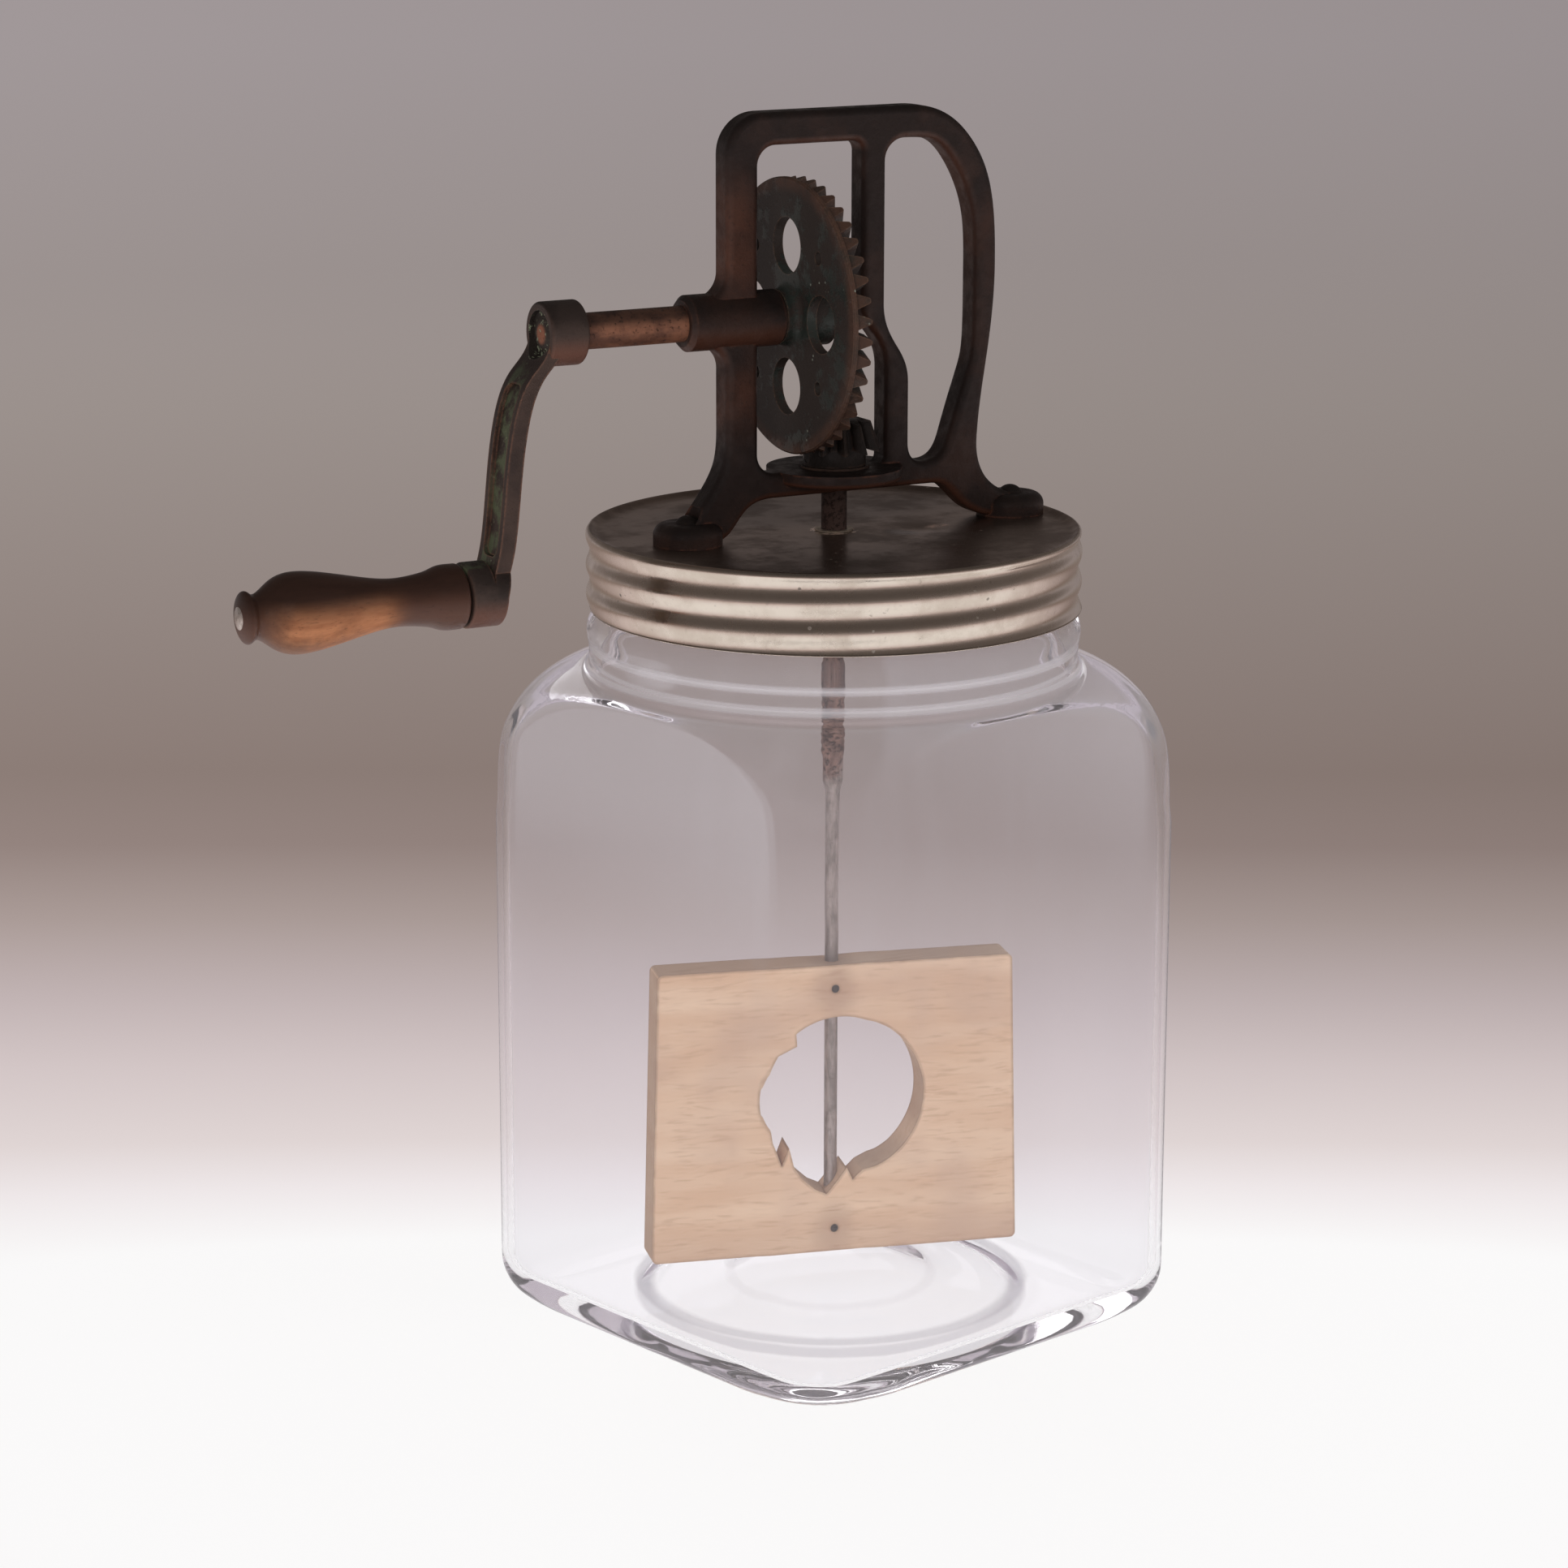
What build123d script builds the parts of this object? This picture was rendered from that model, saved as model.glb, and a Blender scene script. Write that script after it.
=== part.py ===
from build123d import *
from math import acos, asin, cos, hypot, pi, radians, sin, tan
import os

# Hand-cranked mixing jar: a square glass jar with a screw lid.  A cast frame on the lid carries
# a crank, a bevel gear pair and a spindle, which turns a wooden paddle inside the jar.
# Millimetres.  Origin: jar axis at the foot plane.  +Z is up.  The crank shaft lies along X,
# with the crank towards -X and the carrying handle towards +X.

# ---- driving dimensions -------------------------------------------------------------------
# jar
JAR_HALF_WIDTH = 72.6
JAR_CORNER = 21.0
JAR_TURN = 13.5            # angle of the jar's faces to the frame, as the lid happens to be screwed on
GLASS = 4.0
HEEL = 8.0
DOME_START = 146.0         # height where the corners begin to lean in
DOME_LEAN_RADIUS = 85.0
DOME_LEAN_ANGLE = 11.0
DOME_SHOULDER_RADIUS = 28.0
NECK_RADIUS = 67.4
NECK_BEAD_RADIUS = 67.9
NECK_BEAD_HEIGHT = 195.5
NECK_ROOT_HEIGHT = 189.0
MOUTH_RADIUS = 61.5
FINISH_RADIUS = 65.9
LIP_HEIGHT = 220.0
FLOOR_THICKNESS = 6.0
PUSH_UP_RADIUS = 53.5
PUSH_UP_HEIGHT = 6.0

# lid
SHEET = 0.6
LID_RADIUS = 68.0
PANEL_HEIGHT = 222.2
RIM_RISE = 1.2
RIM_WIDTH = 4.0            # the raised border round the flat panel
LID_HEIGHT = 22.2
THREAD_PITCH = 8.1
THREAD_DEPTH = 1.0
FIRST_RIB_DEPTH = 7.2      # from the rim down to the first rib
GASKET_INNER_RADIUS = 61.0
GASKET_OUTER_RADIUS = 64.8
EYELET_RADIUS = 4.3
EYELET_FLANGE_RADIUS = 5.2
RIVET_RADIUS = 2.4
RIVET_HEAD_RADIUS = 3.4
RIVET_WASHER_RADIUS = 4.6
RIVET_WASHER_THICKNESS = 0.8

# frame casting
FRAME_DEPTH = 8.6
FRAME_ROUNDING = 2.0
FRAME_TOP = 337.1
WINDOW_TOP = 328.3
CROSSBAR_TOP = 240.0
CROSSBAR_BOTTOM = 233.2
LEFT_OUTER = -34.9          # the upright that carries the boss
LEFT_INNER = -25.4
UPRIGHT_LEFT = 6.5         # the upright between the gear and the fingers, above its step
UPRIGHT_RIGHT = 13.6
UPRIGHT_STEP = 284.0
LOWER_UPRIGHT_LEFT = 14.0
LOWER_UPRIGHT_RIGHT = 21.4
BOW_INNER = 41.8
BOW_OUTER = 48.6
BOW_WIDEST = 293.0
FOOT_LEFT = -45.0
FOOT_RIGHT = 56.2
PAD_RADIUS = 9.4
PAD_HEIGHT = 6.0
PAD_ROUNDING = 3.2
TABLE_RADIUS = 18.6
TABLE_THICKNESS = 3.6
BOSS_RADIUS = 7.6
BOSS_OUTER_END = -46.8
BOSS_INNER_END = -18.9
RUNNING_CLEARANCE = 0.05

# drive
SHAFT_HEIGHT = 282.0
SHAFT_RADIUS = 4.85
GEAR_TEETH = 42
PINION_TEETH = 12
GEAR_PITCH_RADIUS = 36.9
FACE_WIDTH = 7.8
PRESSURE_ANGLE = 20.0
PROFILE_SHIFT = 0.3        # the small pinion's teeth are lengthened, the gear's shortened
TIP_ROOT_CLEARANCE = 0.25
FLANK_RELIEF = 0.09        # taken off each flank, for backlash
GEAR_FRONT = -14.9
GEAR_RIM_RADIUS = 37.3
WEB_THICKNESS = 3.0
GEAR_HUB_RADIUS = 7.5
GEAR_HUB_FRONT = -18.3
GEAR_HUB_BACK = -3.5
WINDOW_HOLE_RADIUS = 7.7
WINDOW_HOLE_CIRCLE = 19.0
SMALL_HOLE_RADIUS = 1.8
SMALL_HOLE_CIRCLE = 24.6
CROSS_PIN_RADIUS = 1.5
GEAR_PIN_X = -6.6
PINION_PIN_HEIGHT = 242.9
PINION_HUB_RADIUS = 8.6
PINION_WASHER = 0.6

# crank
HUB_OUTER_END = -88.5
HUB_INNER_END = -77.6
HUB_RADIUS = 8.6
HUB_RECESS_RADIUS = 6.3
HUB_RECESS_DEPTH = 1.3
CRANK_RADIUS = 67.4
ARM_THICKNESS = 4.4
ARM_HALF_WIDTH = 6.6
ARM_END_RADIUS = 8.8
ARM_END_FACE = -106.6
ARM_BOSS_END = -112.0
CHANNEL_HALF_WIDTH = 4.4
CHANNEL_DEPTH = 1.3
GRIP_INNER_END = -112.7
GRIP_OUTER_END = -174.6
GRIP_PIN_RADIUS = 2.2
GRIP_BORE_CLEARANCE = 0.06
PIN_HEAD_RADIUS = 3.0
PIN_HEAD_LENGTH = 0.7
GRIP_WASHER_RADIUS = 5.4

# spindle and paddle
SPINDLE_RADIUS = 3.5
SPINDLE_MIDDLE_RADIUS = 2.8
ROD_RADIUS = 2.0
SPINDLE_STEP_HEIGHT = 152.0
SPINDLE_TOP = 254.0
PADDLE_TURN = -15.2        # the paddle's angle at rest
PADDLE_TOP_WIDTH = 100.9
PADDLE_BOTTOM_WIDTH = 105.0
PADDLE_BOTTOM = 15.6
PADDLE_TOP = 99.9
PADDLE_THICKNESS = 11.0
PADDLE_CORNER = 1.6
PADDLE_HOLE_RADIUS = 23.5
PADDLE_HOLE_HEIGHT = 61.2
PADDLE_HOLE_OFFSET = 1.5
PADDLE_PIN_RADIUS = 1.2
PADDLE_PIN_HEIGHTS = (22.3, 92.9)

SHAFT_AXIS = Axis((0, 0, SHAFT_HEIGHT), (1, 0, 0))
CRANK_PIN_HEIGHT = SHAFT_HEIGHT - CRANK_RADIUS
LID_BOTTOM = PANEL_HEIGHT + RIM_RISE - LID_HEIGHT
PANEL_UNDERSIDE = PANEL_HEIGHT - SHEET


# ---- helpers ------------------------------------------------------------------------------
def outline(*pieces):
    """A face bounded by lines and curves given in order."""
    return make_face(Curve() + list(pieces))


def rounded_corner(start, corner, end):
    """A quarter circle from start to end, in place of the square corner between them."""
    cut = 1 - 0.5 ** 0.5
    middle = tuple(c + cut * (a + b - 2 * c) for a, c, b in zip(start, corner, end))
    return ThreePointArc(start, middle, end)


def turned(face):
    """A body of revolution about the jar's axis; the face holds radius and height."""
    return revolve(Plane.XZ * face, axis=Axis.Z)


def turned_on_shaft(face, height=SHAFT_HEIGHT):
    """A body of revolution about a line along X; the face holds X and radius."""
    axis = Axis((0, 0, height), (1, 0, 0))
    return revolve(Pos(0, 0, height) * (Plane.XZ * face), axis=axis)


def rod(radius, low, high, x=0.0, y=0.0):
    """A round bar standing on height low."""
    return Pos(x, y, low) * Cylinder(radius, high - low, align=(Align.CENTER, Align.CENTER, Align.MIN))


def bar_along_x(radius, start, end, height, y=0.0):
    """A round bar along X from start to end."""
    bar = Cylinder(radius, end - start, align=(Align.CENTER, Align.CENTER, Align.MIN))
    return Pos(start, y, height) * Rot(0, 90, 0) * bar


def slab(face, depth):
    """A face drawn in X and Z, made depth thick about the plane Y = 0."""
    return extrude(Plane.XZ * face, amount=depth / 2, both=True)


def cap_arc(radius, base, tip, on_shaft=False):
    """The arc of a spherical cap, from a rim of the given radius at base to a tip on the axis."""
    height = tip - base
    sphere = (radius ** 2 + height ** 2) / (2 * height)
    half = asin(radius / abs(sphere)) / 2
    points = [(radius, base), (abs(sphere) * sin(half), tip - sphere * (1 - cos(half))), (0, tip)]
    if on_shaft:
        points = [(axial, radial) for radial, axial in points]
    return ThreePointArc(*points)


def domed_head(radius, base, tip, x=0.0):
    """A rivet head: a spherical cap on a plane at height base."""
    face = outline(Line((0, base), (radius, base)), cap_arc(radius, base, tip), Line((0, tip), (0, base)))
    return Pos(x, 0, 0) * turned(face)


# ---- jar ----------------------------------------------------------------------------------
def square_prism(half_width, corner, low, high):
    section = RectangleRounded(2 * half_width, 2 * half_width, corner)
    return Pos(0, 0, low) * extrude(section, amount=high - low)


def dome(inset, low):
    """The jar's corner and shoulder profile, turned; inset moves it inwards for the cavity."""
    corner_radius = (JAR_HALF_WIDTH - JAR_CORNER) * 2 ** 0.5 + JAR_CORNER
    lean = DOME_LEAN_RADIUS - inset
    round_over = DOME_SHOULDER_RADIUS - inset
    lean_centre = corner_radius - DOME_LEAN_RADIUS
    angle = radians(DOME_LEAN_ANGLE)
    half = angle / 2
    joint = (lean_centre + lean * cos(angle), DOME_START + lean * sin(angle))
    shoulder = (
        lean_centre + (DOME_LEAN_RADIUS - DOME_SHOULDER_RADIUS) * cos(angle),
        DOME_START + (DOME_LEAN_RADIUS - DOME_SHOULDER_RADIUS) * sin(angle),
    )
    middle = (angle + pi / 2) / 2
    top = (shoulder[0], shoulder[1] + round_over)
    face = outline(
        Line((0, low), (corner_radius - inset, low)),
        Line((corner_radius - inset, low), (corner_radius - inset, DOME_START)),
        ThreePointArc(
            (corner_radius - inset, DOME_START),
            (lean_centre + lean * cos(half), DOME_START + lean * sin(half)),
            joint,
        ),
        ThreePointArc(
            joint,
            (shoulder[0] + round_over * cos(middle), shoulder[1] + round_over * sin(middle)),
            top,
        ),
        Line(top, (0, top[1])),
        Line((0, top[1]), (0, low)),
    )
    return turned(face)


def neck():
    bead_half = 1.5
    lower = NECK_BEAD_HEIGHT - bead_half - 1.2
    face = outline(
        Polyline(
            (0, DOME_START + 30),
            (NECK_RADIUS + 3, DOME_START + 30),
            (NECK_RADIUS + 3, NECK_ROOT_HEIGHT - 4.6),
        ),
        ThreePointArc(
            (NECK_RADIUS + 3, NECK_ROOT_HEIGHT - 4.6),
            (NECK_RADIUS + 0.9, NECK_ROOT_HEIGHT - 3),
            (NECK_RADIUS, NECK_ROOT_HEIGHT),
        ),
        Polyline(
            (NECK_RADIUS, NECK_ROOT_HEIGHT),
            (NECK_RADIUS, lower - 0.8),
            (NECK_RADIUS - 0.7, lower),
        ),
        ThreePointArc(
            (NECK_RADIUS - 0.7, lower),
            (NECK_BEAD_RADIUS, NECK_BEAD_HEIGHT),
            (FINISH_RADIUS, NECK_BEAD_HEIGHT + 2 * bead_half),
        ),
        Line((FINISH_RADIUS, NECK_BEAD_HEIGHT + 2 * bead_half), (FINISH_RADIUS, LIP_HEIGHT - 1.5)),
        ThreePointArc(
            (FINISH_RADIUS, LIP_HEIGHT - 1.5),
            (FINISH_RADIUS - 0.44, LIP_HEIGHT - 0.44),
            (FINISH_RADIUS - 1.5, LIP_HEIGHT),
        ),
        Polyline((FINISH_RADIUS - 1.5, LIP_HEIGHT), (0, LIP_HEIGHT), (0, DOME_START + 30)),
    )
    return turned(face)


def push_up(height, radius, base):
    """A shallow round dome in the floor, flared at its edge."""
    face = outline(
        Line((0, base - 1), (radius, base - 1)),
        Line((radius, base - 1), (radius, base)),
        Spline(
            (radius, base), (radius * 0.9, base + height * 0.42), (radius * 0.6, base + height * 0.82),
            (0, base + height), tangents=[(-0.3, 1), (-1, 0)],
        ),
        Line((0, base + height), (0, base - 1)),
    )
    return turned(face)


def glass_jar():
    body = square_prism(JAR_HALF_WIDTH, JAR_CORNER, 0, LIP_HEIGHT) & dome(0, 0)
    body = fillet(body.edges().group_by(Axis.Z)[0], HEEL)
    cavity = square_prism(JAR_HALF_WIDTH - GLASS, JAR_CORNER - GLASS, FLOOR_THICKNESS, LIP_HEIGHT)
    cavity = cavity & dome(GLASS, FLOOR_THICKNESS)
    cavity = fillet(cavity.edges().group_by(Axis.Z)[0], HEEL)
    cavity = cavity - push_up(PUSH_UP_HEIGHT, PUSH_UP_RADIUS - 6, FLOOR_THICKNESS)
    jar = body + neck() - cavity - rod(MOUTH_RADIUS, DOME_START, LIP_HEIGHT + 1)
    jar = jar - push_up(PUSH_UP_HEIGHT, PUSH_UP_RADIUS, 0)
    return Rot(0, 0, JAR_TURN) * jar


# ---- lid ----------------------------------------------------------------------------------
def skirt_radius(height):
    """Outer radius of the rolled skirt, ribbed at the pitch of its thread."""
    depth = PANEL_HEIGHT + RIM_RISE - height - FIRST_RIB_DEPTH
    return LID_RADIUS - THREAD_DEPTH / 2 + THREAD_DEPTH / 2 * cos(2 * pi * depth / THREAD_PITCH)


def screw_lid():
    rim_top = PANEL_HEIGHT + RIM_RISE
    skirt_start = rim_top - FIRST_RIB_DEPTH + THREAD_PITCH / 2
    points_per_wave = 6
    count = round((skirt_start - LID_BOTTOM) / THREAD_PITCH * points_per_wave)
    step = (skirt_start - LID_BOTTOM) / count
    outer = [(skirt_radius(skirt_start - i * step), skirt_start - i * step) for i in range(count + 1)]
    inner = [(r - SHEET, z) for r, z in reversed(outer)]
    roll = 1.1
    flat = LID_RADIUS - RIM_WIDTH
    face = outline(
        Polyline((0, PANEL_HEIGHT), (flat, PANEL_HEIGHT), (flat + 1.2, rim_top - 0.1)),
        ThreePointArc(
            (flat + 1.2, rim_top - 0.1),
            (LID_RADIUS - roll, rim_top),
            (LID_RADIUS, rim_top - roll),
        ),
        Line((LID_RADIUS, rim_top - roll), outer[0]),
        Spline(*outer),
        Line(outer[-1], inner[0]),
        Spline(*inner),
        Line(inner[-1], (LID_RADIUS - SHEET, rim_top - roll - 0.3)),
        ThreePointArc(
            (LID_RADIUS - SHEET, rim_top - roll - 0.3),
            (LID_RADIUS - roll - 0.5, rim_top - SHEET),
            (flat + 1.6, rim_top - SHEET - 0.1),
        ),
        Polyline(
            (flat + 1.6, rim_top - SHEET - 0.1),
            (flat + 0.4, PANEL_UNDERSIDE),
            (0, PANEL_UNDERSIDE),
            (0, PANEL_HEIGHT),
        ),
    )
    lid = turned(face)
    for x in (FOOT_LEFT, FOOT_RIGHT):
        lid = lid - rod(RIVET_RADIUS, PANEL_UNDERSIDE - 1, PANEL_HEIGHT + 1, x)
    return lid - rod(EYELET_RADIUS, PANEL_UNDERSIDE - 1, PANEL_HEIGHT + 1)


def lid_gasket():
    blank = rod(GASKET_OUTER_RADIUS, LIP_HEIGHT, PANEL_UNDERSIDE)
    return blank - rod(GASKET_INNER_RADIUS, LIP_HEIGHT - 1, PANEL_UNDERSIDE + 1)


def spindle_eyelet():
    """A turned-over collar lining the hole where the spindle passes through the lid."""
    bore = SPINDLE_RADIUS + 0.08
    flange = 0.5
    face = outline(
        Polyline(
            (bore, PANEL_UNDERSIDE - flange),
            (EYELET_FLANGE_RADIUS, PANEL_UNDERSIDE - flange),
            (EYELET_FLANGE_RADIUS, PANEL_UNDERSIDE),
            (EYELET_RADIUS, PANEL_UNDERSIDE),
            (EYELET_RADIUS, PANEL_HEIGHT),
            (EYELET_FLANGE_RADIUS, PANEL_HEIGHT),
            (EYELET_FLANGE_RADIUS, PANEL_HEIGHT + flange),
            (bore, PANEL_HEIGHT + flange),
            close=True,
        )
    )
    return turned(face)


def frame_rivets():
    top = PANEL_HEIGHT + PAD_HEIGHT
    bottom = PANEL_UNDERSIDE - RIVET_WASHER_THICKNESS
    rivets = []
    for x in (FOOT_LEFT, FOOT_RIGHT):
        rivet = rod(RIVET_RADIUS, bottom, top, x)
        rivet = rivet + domed_head(RIVET_HEAD_RADIUS, top, top + 2.0, x)
        rivet = rivet + domed_head(RIVET_HEAD_RADIUS, bottom, bottom - 1.6, x)
        rivets.append(rivet.solid())
    return Compound(children=rivets)


def rivet_washers():
    washers = []
    for x in (FOOT_LEFT, FOOT_RIGHT):
        blank = rod(RIVET_WASHER_RADIUS, PANEL_UNDERSIDE - RIVET_WASHER_THICKNESS, PANEL_UNDERSIDE, x)
        washer = blank - rod(RIVET_RADIUS, PANEL_UNDERSIDE - 2, PANEL_HEIGHT, x)
        washers.append(washer.solid())
    return Compound(children=washers)


# ---- frame casting ------------------------------------------------------------------------
def frame_outline():
    """The casting's outer edge, clockwise from the left toe: leg, boss flare, bow handle, right toe."""
    sole = PANEL_HEIGHT
    toe = sole + PAD_HEIGHT - 1.2
    left_toe = FOOT_LEFT - 4
    right_toe = FOOT_RIGHT + 4
    left = LEFT_OUTER
    leg_top = 254
    corner = 11.0
    flare = 6.5
    boss_top = SHAFT_HEIGHT + BOSS_RADIUS - 1.2
    boss_bottom = SHAFT_HEIGHT - BOSS_RADIUS + 1.2
    bow_start = 21
    ankle = (43.4, 244.5)
    return outline(
        Line((left_toe, sole), (left_toe, toe)),
        Spline(
            (left_toe, toe), (-41.6, 233.6), (-36.6, 241.5), (left, leg_top),
            tangents=[(1, 0.35), (0, 1)],
        ),
        Line((left, leg_top), (left, boss_bottom - flare)),
        rounded_corner((left, boss_bottom - flare), (left, boss_bottom), (left - flare, boss_bottom)),
        Line((left - flare, boss_bottom), (left - flare, boss_top)),
        rounded_corner((left - flare, boss_top), (left, boss_top), (left, boss_top + flare)),
        Line((left, boss_top + flare), (left, FRAME_TOP - corner)),
        rounded_corner((left, FRAME_TOP - corner), (left, FRAME_TOP), (left + corner, FRAME_TOP)),
        Line((left + corner, FRAME_TOP), (bow_start, FRAME_TOP)),
        Spline((bow_start, FRAME_TOP), (40.6, 327.4), (BOW_OUTER, BOW_WIDEST), tangents=[(1, 0), (0, -1)]),
        Spline((BOW_OUTER, BOW_WIDEST), (46.6, 269.4), ankle, tangents=[(0, -1), (-0.05, -1)]),
        Spline(ankle, (46.2, 234.0), (right_toe, toe), tangents=[(-0.05, -1), (1, -0.2)]),
        Polyline((right_toe, toe), (right_toe, sole), (FOOT_RIGHT - 6, sole)),
        Spline(
            (FOOT_RIGHT - 6, sole), (39.5, 226.2), (32.7, 232.3), (26, CROSSBAR_BOTTOM),
            tangents=[(-1, 0.1), (-1, 0)],
        ),
        Line((26, CROSSBAR_BOTTOM), (-20, CROSSBAR_BOTTOM)),
        Spline(
            (-20, CROSSBAR_BOTTOM), (-28.4, 230.9), (-32.2, 226.5), (FOOT_LEFT + 6, sole),
            tangents=[(-1, 0), (-1, -0.2)],
        ),
        Line((FOOT_LEFT + 6, sole), (left_toe, sole)),
    )


def gear_window():
    """The opening that holds the gear; its right edge steps outwards low down, clear of the pinion."""
    left = LEFT_INNER
    right = UPRIGHT_LEFT
    right_low = LOWER_UPRIGHT_LEFT
    top = WINDOW_TOP
    bottom = CROSSBAR_TOP
    wide = 5.5
    tight = 3.0
    low = 2.0
    step_end = 266
    return outline(
        Line((left, bottom + wide), (left, top - wide)),
        rounded_corner((left, top - wide), (left, top), (left + wide, top)),
        Line((left + wide, top), (right - tight, top)),
        rounded_corner((right - tight, top), (right, top), (right, top - tight)),
        Line((right, top - tight), (right, UPRIGHT_STEP)),
        Spline((right, UPRIGHT_STEP), (10.2, 276.2), (right_low, step_end), tangents=[(0, -1), (0, -1)]),
        Line((right_low, step_end), (right_low, bottom + low)),
        rounded_corner((right_low, bottom + low), (right_low, bottom), (right_low - low, bottom)),
        Line((right_low - low, bottom), (left + wide, bottom)),
        rounded_corner((left + wide, bottom), (left, bottom), (left, bottom + wide)),
    )


def finger_opening():
    """The opening of the bow handle on the right."""
    left = UPRIGHT_RIGHT
    left_low = LOWER_UPRIGHT_RIGHT
    top = 328.4
    corner = 6.0
    step_end = 262
    low_start = (left_low, 245.6)
    lowest = (26.4, 239.6)
    widest = (BOW_INNER, BOW_WIDEST - 3)
    return outline(
        Line((left, top - corner), (left, UPRIGHT_STEP)),
        Spline((left, UPRIGHT_STEP), (16.9, 273.5), (left_low, step_end), tangents=[(0, -1), (0, -1)]),
        Line((left_low, step_end), low_start),
        Spline(low_start, lowest, tangents=[(0, -1), (1, 0)]),
        Spline(lowest, (34.6, 248.0), (39.4, 262.4), widest, tangents=[(1, 0), (0, 1)]),
        Spline(widest, (38.9, 313.6), (31.2, 325.6), (left + corner, top), tangents=[(0, 1), (-1, 0)]),
        rounded_corner((left + corner, top), (left, top), (left, top - corner)),
    )


def foot_pad(x):
    """A round toe with its upper edge rounded over."""
    pad = rod(PAD_RADIUS, PANEL_HEIGHT, PANEL_HEIGHT + PAD_HEIGHT, x)
    return fillet(pad.edges().group_by(Axis.Z)[-1], PAD_ROUNDING)


def gear_frame():
    web = slab(frame_outline() - gear_window() - finger_opening(), FRAME_DEPTH)
    front_and_back = web.edges().group_by(Axis.Y)
    web = fillet(front_and_back[0] + front_and_back[-1], FRAME_ROUNDING)
    table = rod(TABLE_RADIUS, CROSSBAR_TOP - TABLE_THICKNESS, CROSSBAR_TOP)
    table = fillet(table.edges().group_by(Axis.Z)[0], 1.6)
    boss = bar_along_x(BOSS_RADIUS, BOSS_OUTER_END, BOSS_INNER_END, SHAFT_HEIGHT)
    boss = chamfer(boss.edges().group_by(Axis.X)[0], 1.3)
    casting = web + table + boss + foot_pad(FOOT_LEFT) + foot_pad(FOOT_RIGHT)
    casting = casting - rod(SPINDLE_RADIUS + RUNNING_CLEARANCE, CROSSBAR_BOTTOM - 5, CROSSBAR_TOP + 5)
    shaft_bore = SHAFT_RADIUS + RUNNING_CLEARANCE
    casting = casting - bar_along_x(shaft_bore, BOSS_OUTER_END - 5, BOSS_INNER_END + 5, SHAFT_HEIGHT)
    for x in (FOOT_LEFT, FOOT_RIGHT):
        casting = casting - rod(RIVET_RADIUS, PANEL_HEIGHT - 1, PANEL_HEIGHT + 40, x)
        casting = casting - rod(RIVET_HEAD_RADIUS + 0.6, PANEL_HEIGHT + PAD_HEIGHT, PANEL_HEIGHT + 10, x)
    lid_rim = rod(LID_RADIUS + 10, PANEL_HEIGHT - 1, PANEL_HEIGHT + RIM_RISE + 0.1)
    lid_rim = lid_rim - rod(LID_RADIUS - RIM_WIDTH - 0.1, PANEL_HEIGHT - 1, PANEL_HEIGHT + 10)
    return casting - lid_rim


# ---- bevel gear pair ----------------------------------------------------------------------
# The two pitch cones share their apex where the shaft axis crosses the spindle axis.  Each tooth
# is drawn on the plane square to the pitch cone at its outer end, and tapers to the apex.
MODULE = 2 * GEAR_PITCH_RADIUS / GEAR_TEETH
PINION_PITCH_RADIUS = MODULE * PINION_TEETH / 2
CONE_LENGTH = hypot(GEAR_PITCH_RADIUS, PINION_PITCH_RADIUS)
INNER_SCALE = (CONE_LENGTH - FACE_WIDTH) / CONE_LENGTH
CONE_COS = GEAR_PITCH_RADIUS / CONE_LENGTH
CONE_SIN = PINION_PITCH_RADIUS / CONE_LENGTH
GEAR_ADDENDUM = (1 - PROFILE_SHIFT) * MODULE
GEAR_DEDENDUM = (1 + PROFILE_SHIFT + TIP_ROOT_CLEARANCE) * MODULE
PINION_ADDENDUM = (1 + PROFILE_SHIFT) * MODULE
PINION_DEDENDUM = (1 - PROFILE_SHIFT + TIP_ROOT_CLEARANCE) * MODULE
ROOT_SINK = 0.5            # how far a tooth's foot reaches into the blank


def gear_tooth_profile():
    """Half widths and heights of a gear tooth: nearly a rack, because its back cone is so flat."""
    slope = tan(radians(PRESSURE_ANGLE))
    half = MODULE * (pi / 4 - PROFILE_SHIFT * slope) - FLANK_RELIEF
    tip = half - GEAR_ADDENDUM * slope
    round_off = 0.35
    foot = half + GEAR_DEDENDUM * slope
    right = [
        (foot, -GEAR_DEDENDUM - ROOT_SINK),
        (foot, -GEAR_DEDENDUM),
        (tip + round_off * slope, GEAR_ADDENDUM - round_off),
        (tip - round_off * 0.6, GEAR_ADDENDUM),
    ]
    return right + [(-u, h) for u, h in reversed(right)]


def pinion_tooth_profile():
    """Half widths and heights of a pinion tooth: an involute on the pinion's back cone."""
    pitch = PINION_PITCH_RADIUS / CONE_COS
    base = pitch * cos(radians(PRESSURE_ANGLE))
    tip = pitch + PINION_ADDENDUM
    root = pitch - PINION_DEDENDUM
    slope = tan(radians(PRESSURE_ANGLE))
    half_angle = (MODULE * (pi / 4 + PROFILE_SHIFT * slope) - FLANK_RELIEF) / pitch
    involute_at_pitch = slope - radians(PRESSURE_ANGLE)
    steps = 4
    right = []
    foot_angle = half_angle + involute_at_pitch
    for radius in (root - ROOT_SINK, root):
        right.append((radius * sin(foot_angle), radius * cos(foot_angle) - pitch))
    for i in range(steps + 1):
        radius = base + (tip - base) * i / steps
        pressure = acos(base / radius)
        angle = half_angle + involute_at_pitch - (tan(pressure) - pressure)
        right.append((radius * sin(angle), radius * cos(angle) - pitch))
    return right + [(-u, h) for u, h in reversed(right)]


def tapered_tooth(profile, place):
    """A tooth between its outer profile and the same profile drawn in towards the apex."""
    outer = [place(u, h) for u, h in profile]
    inner = [p * INNER_SCALE for p in outer]
    ends = [Face(Wire.make_polygon(ring, close=True)) for ring in (outer, inner)]
    return loft(ends, ruled=True)


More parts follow.
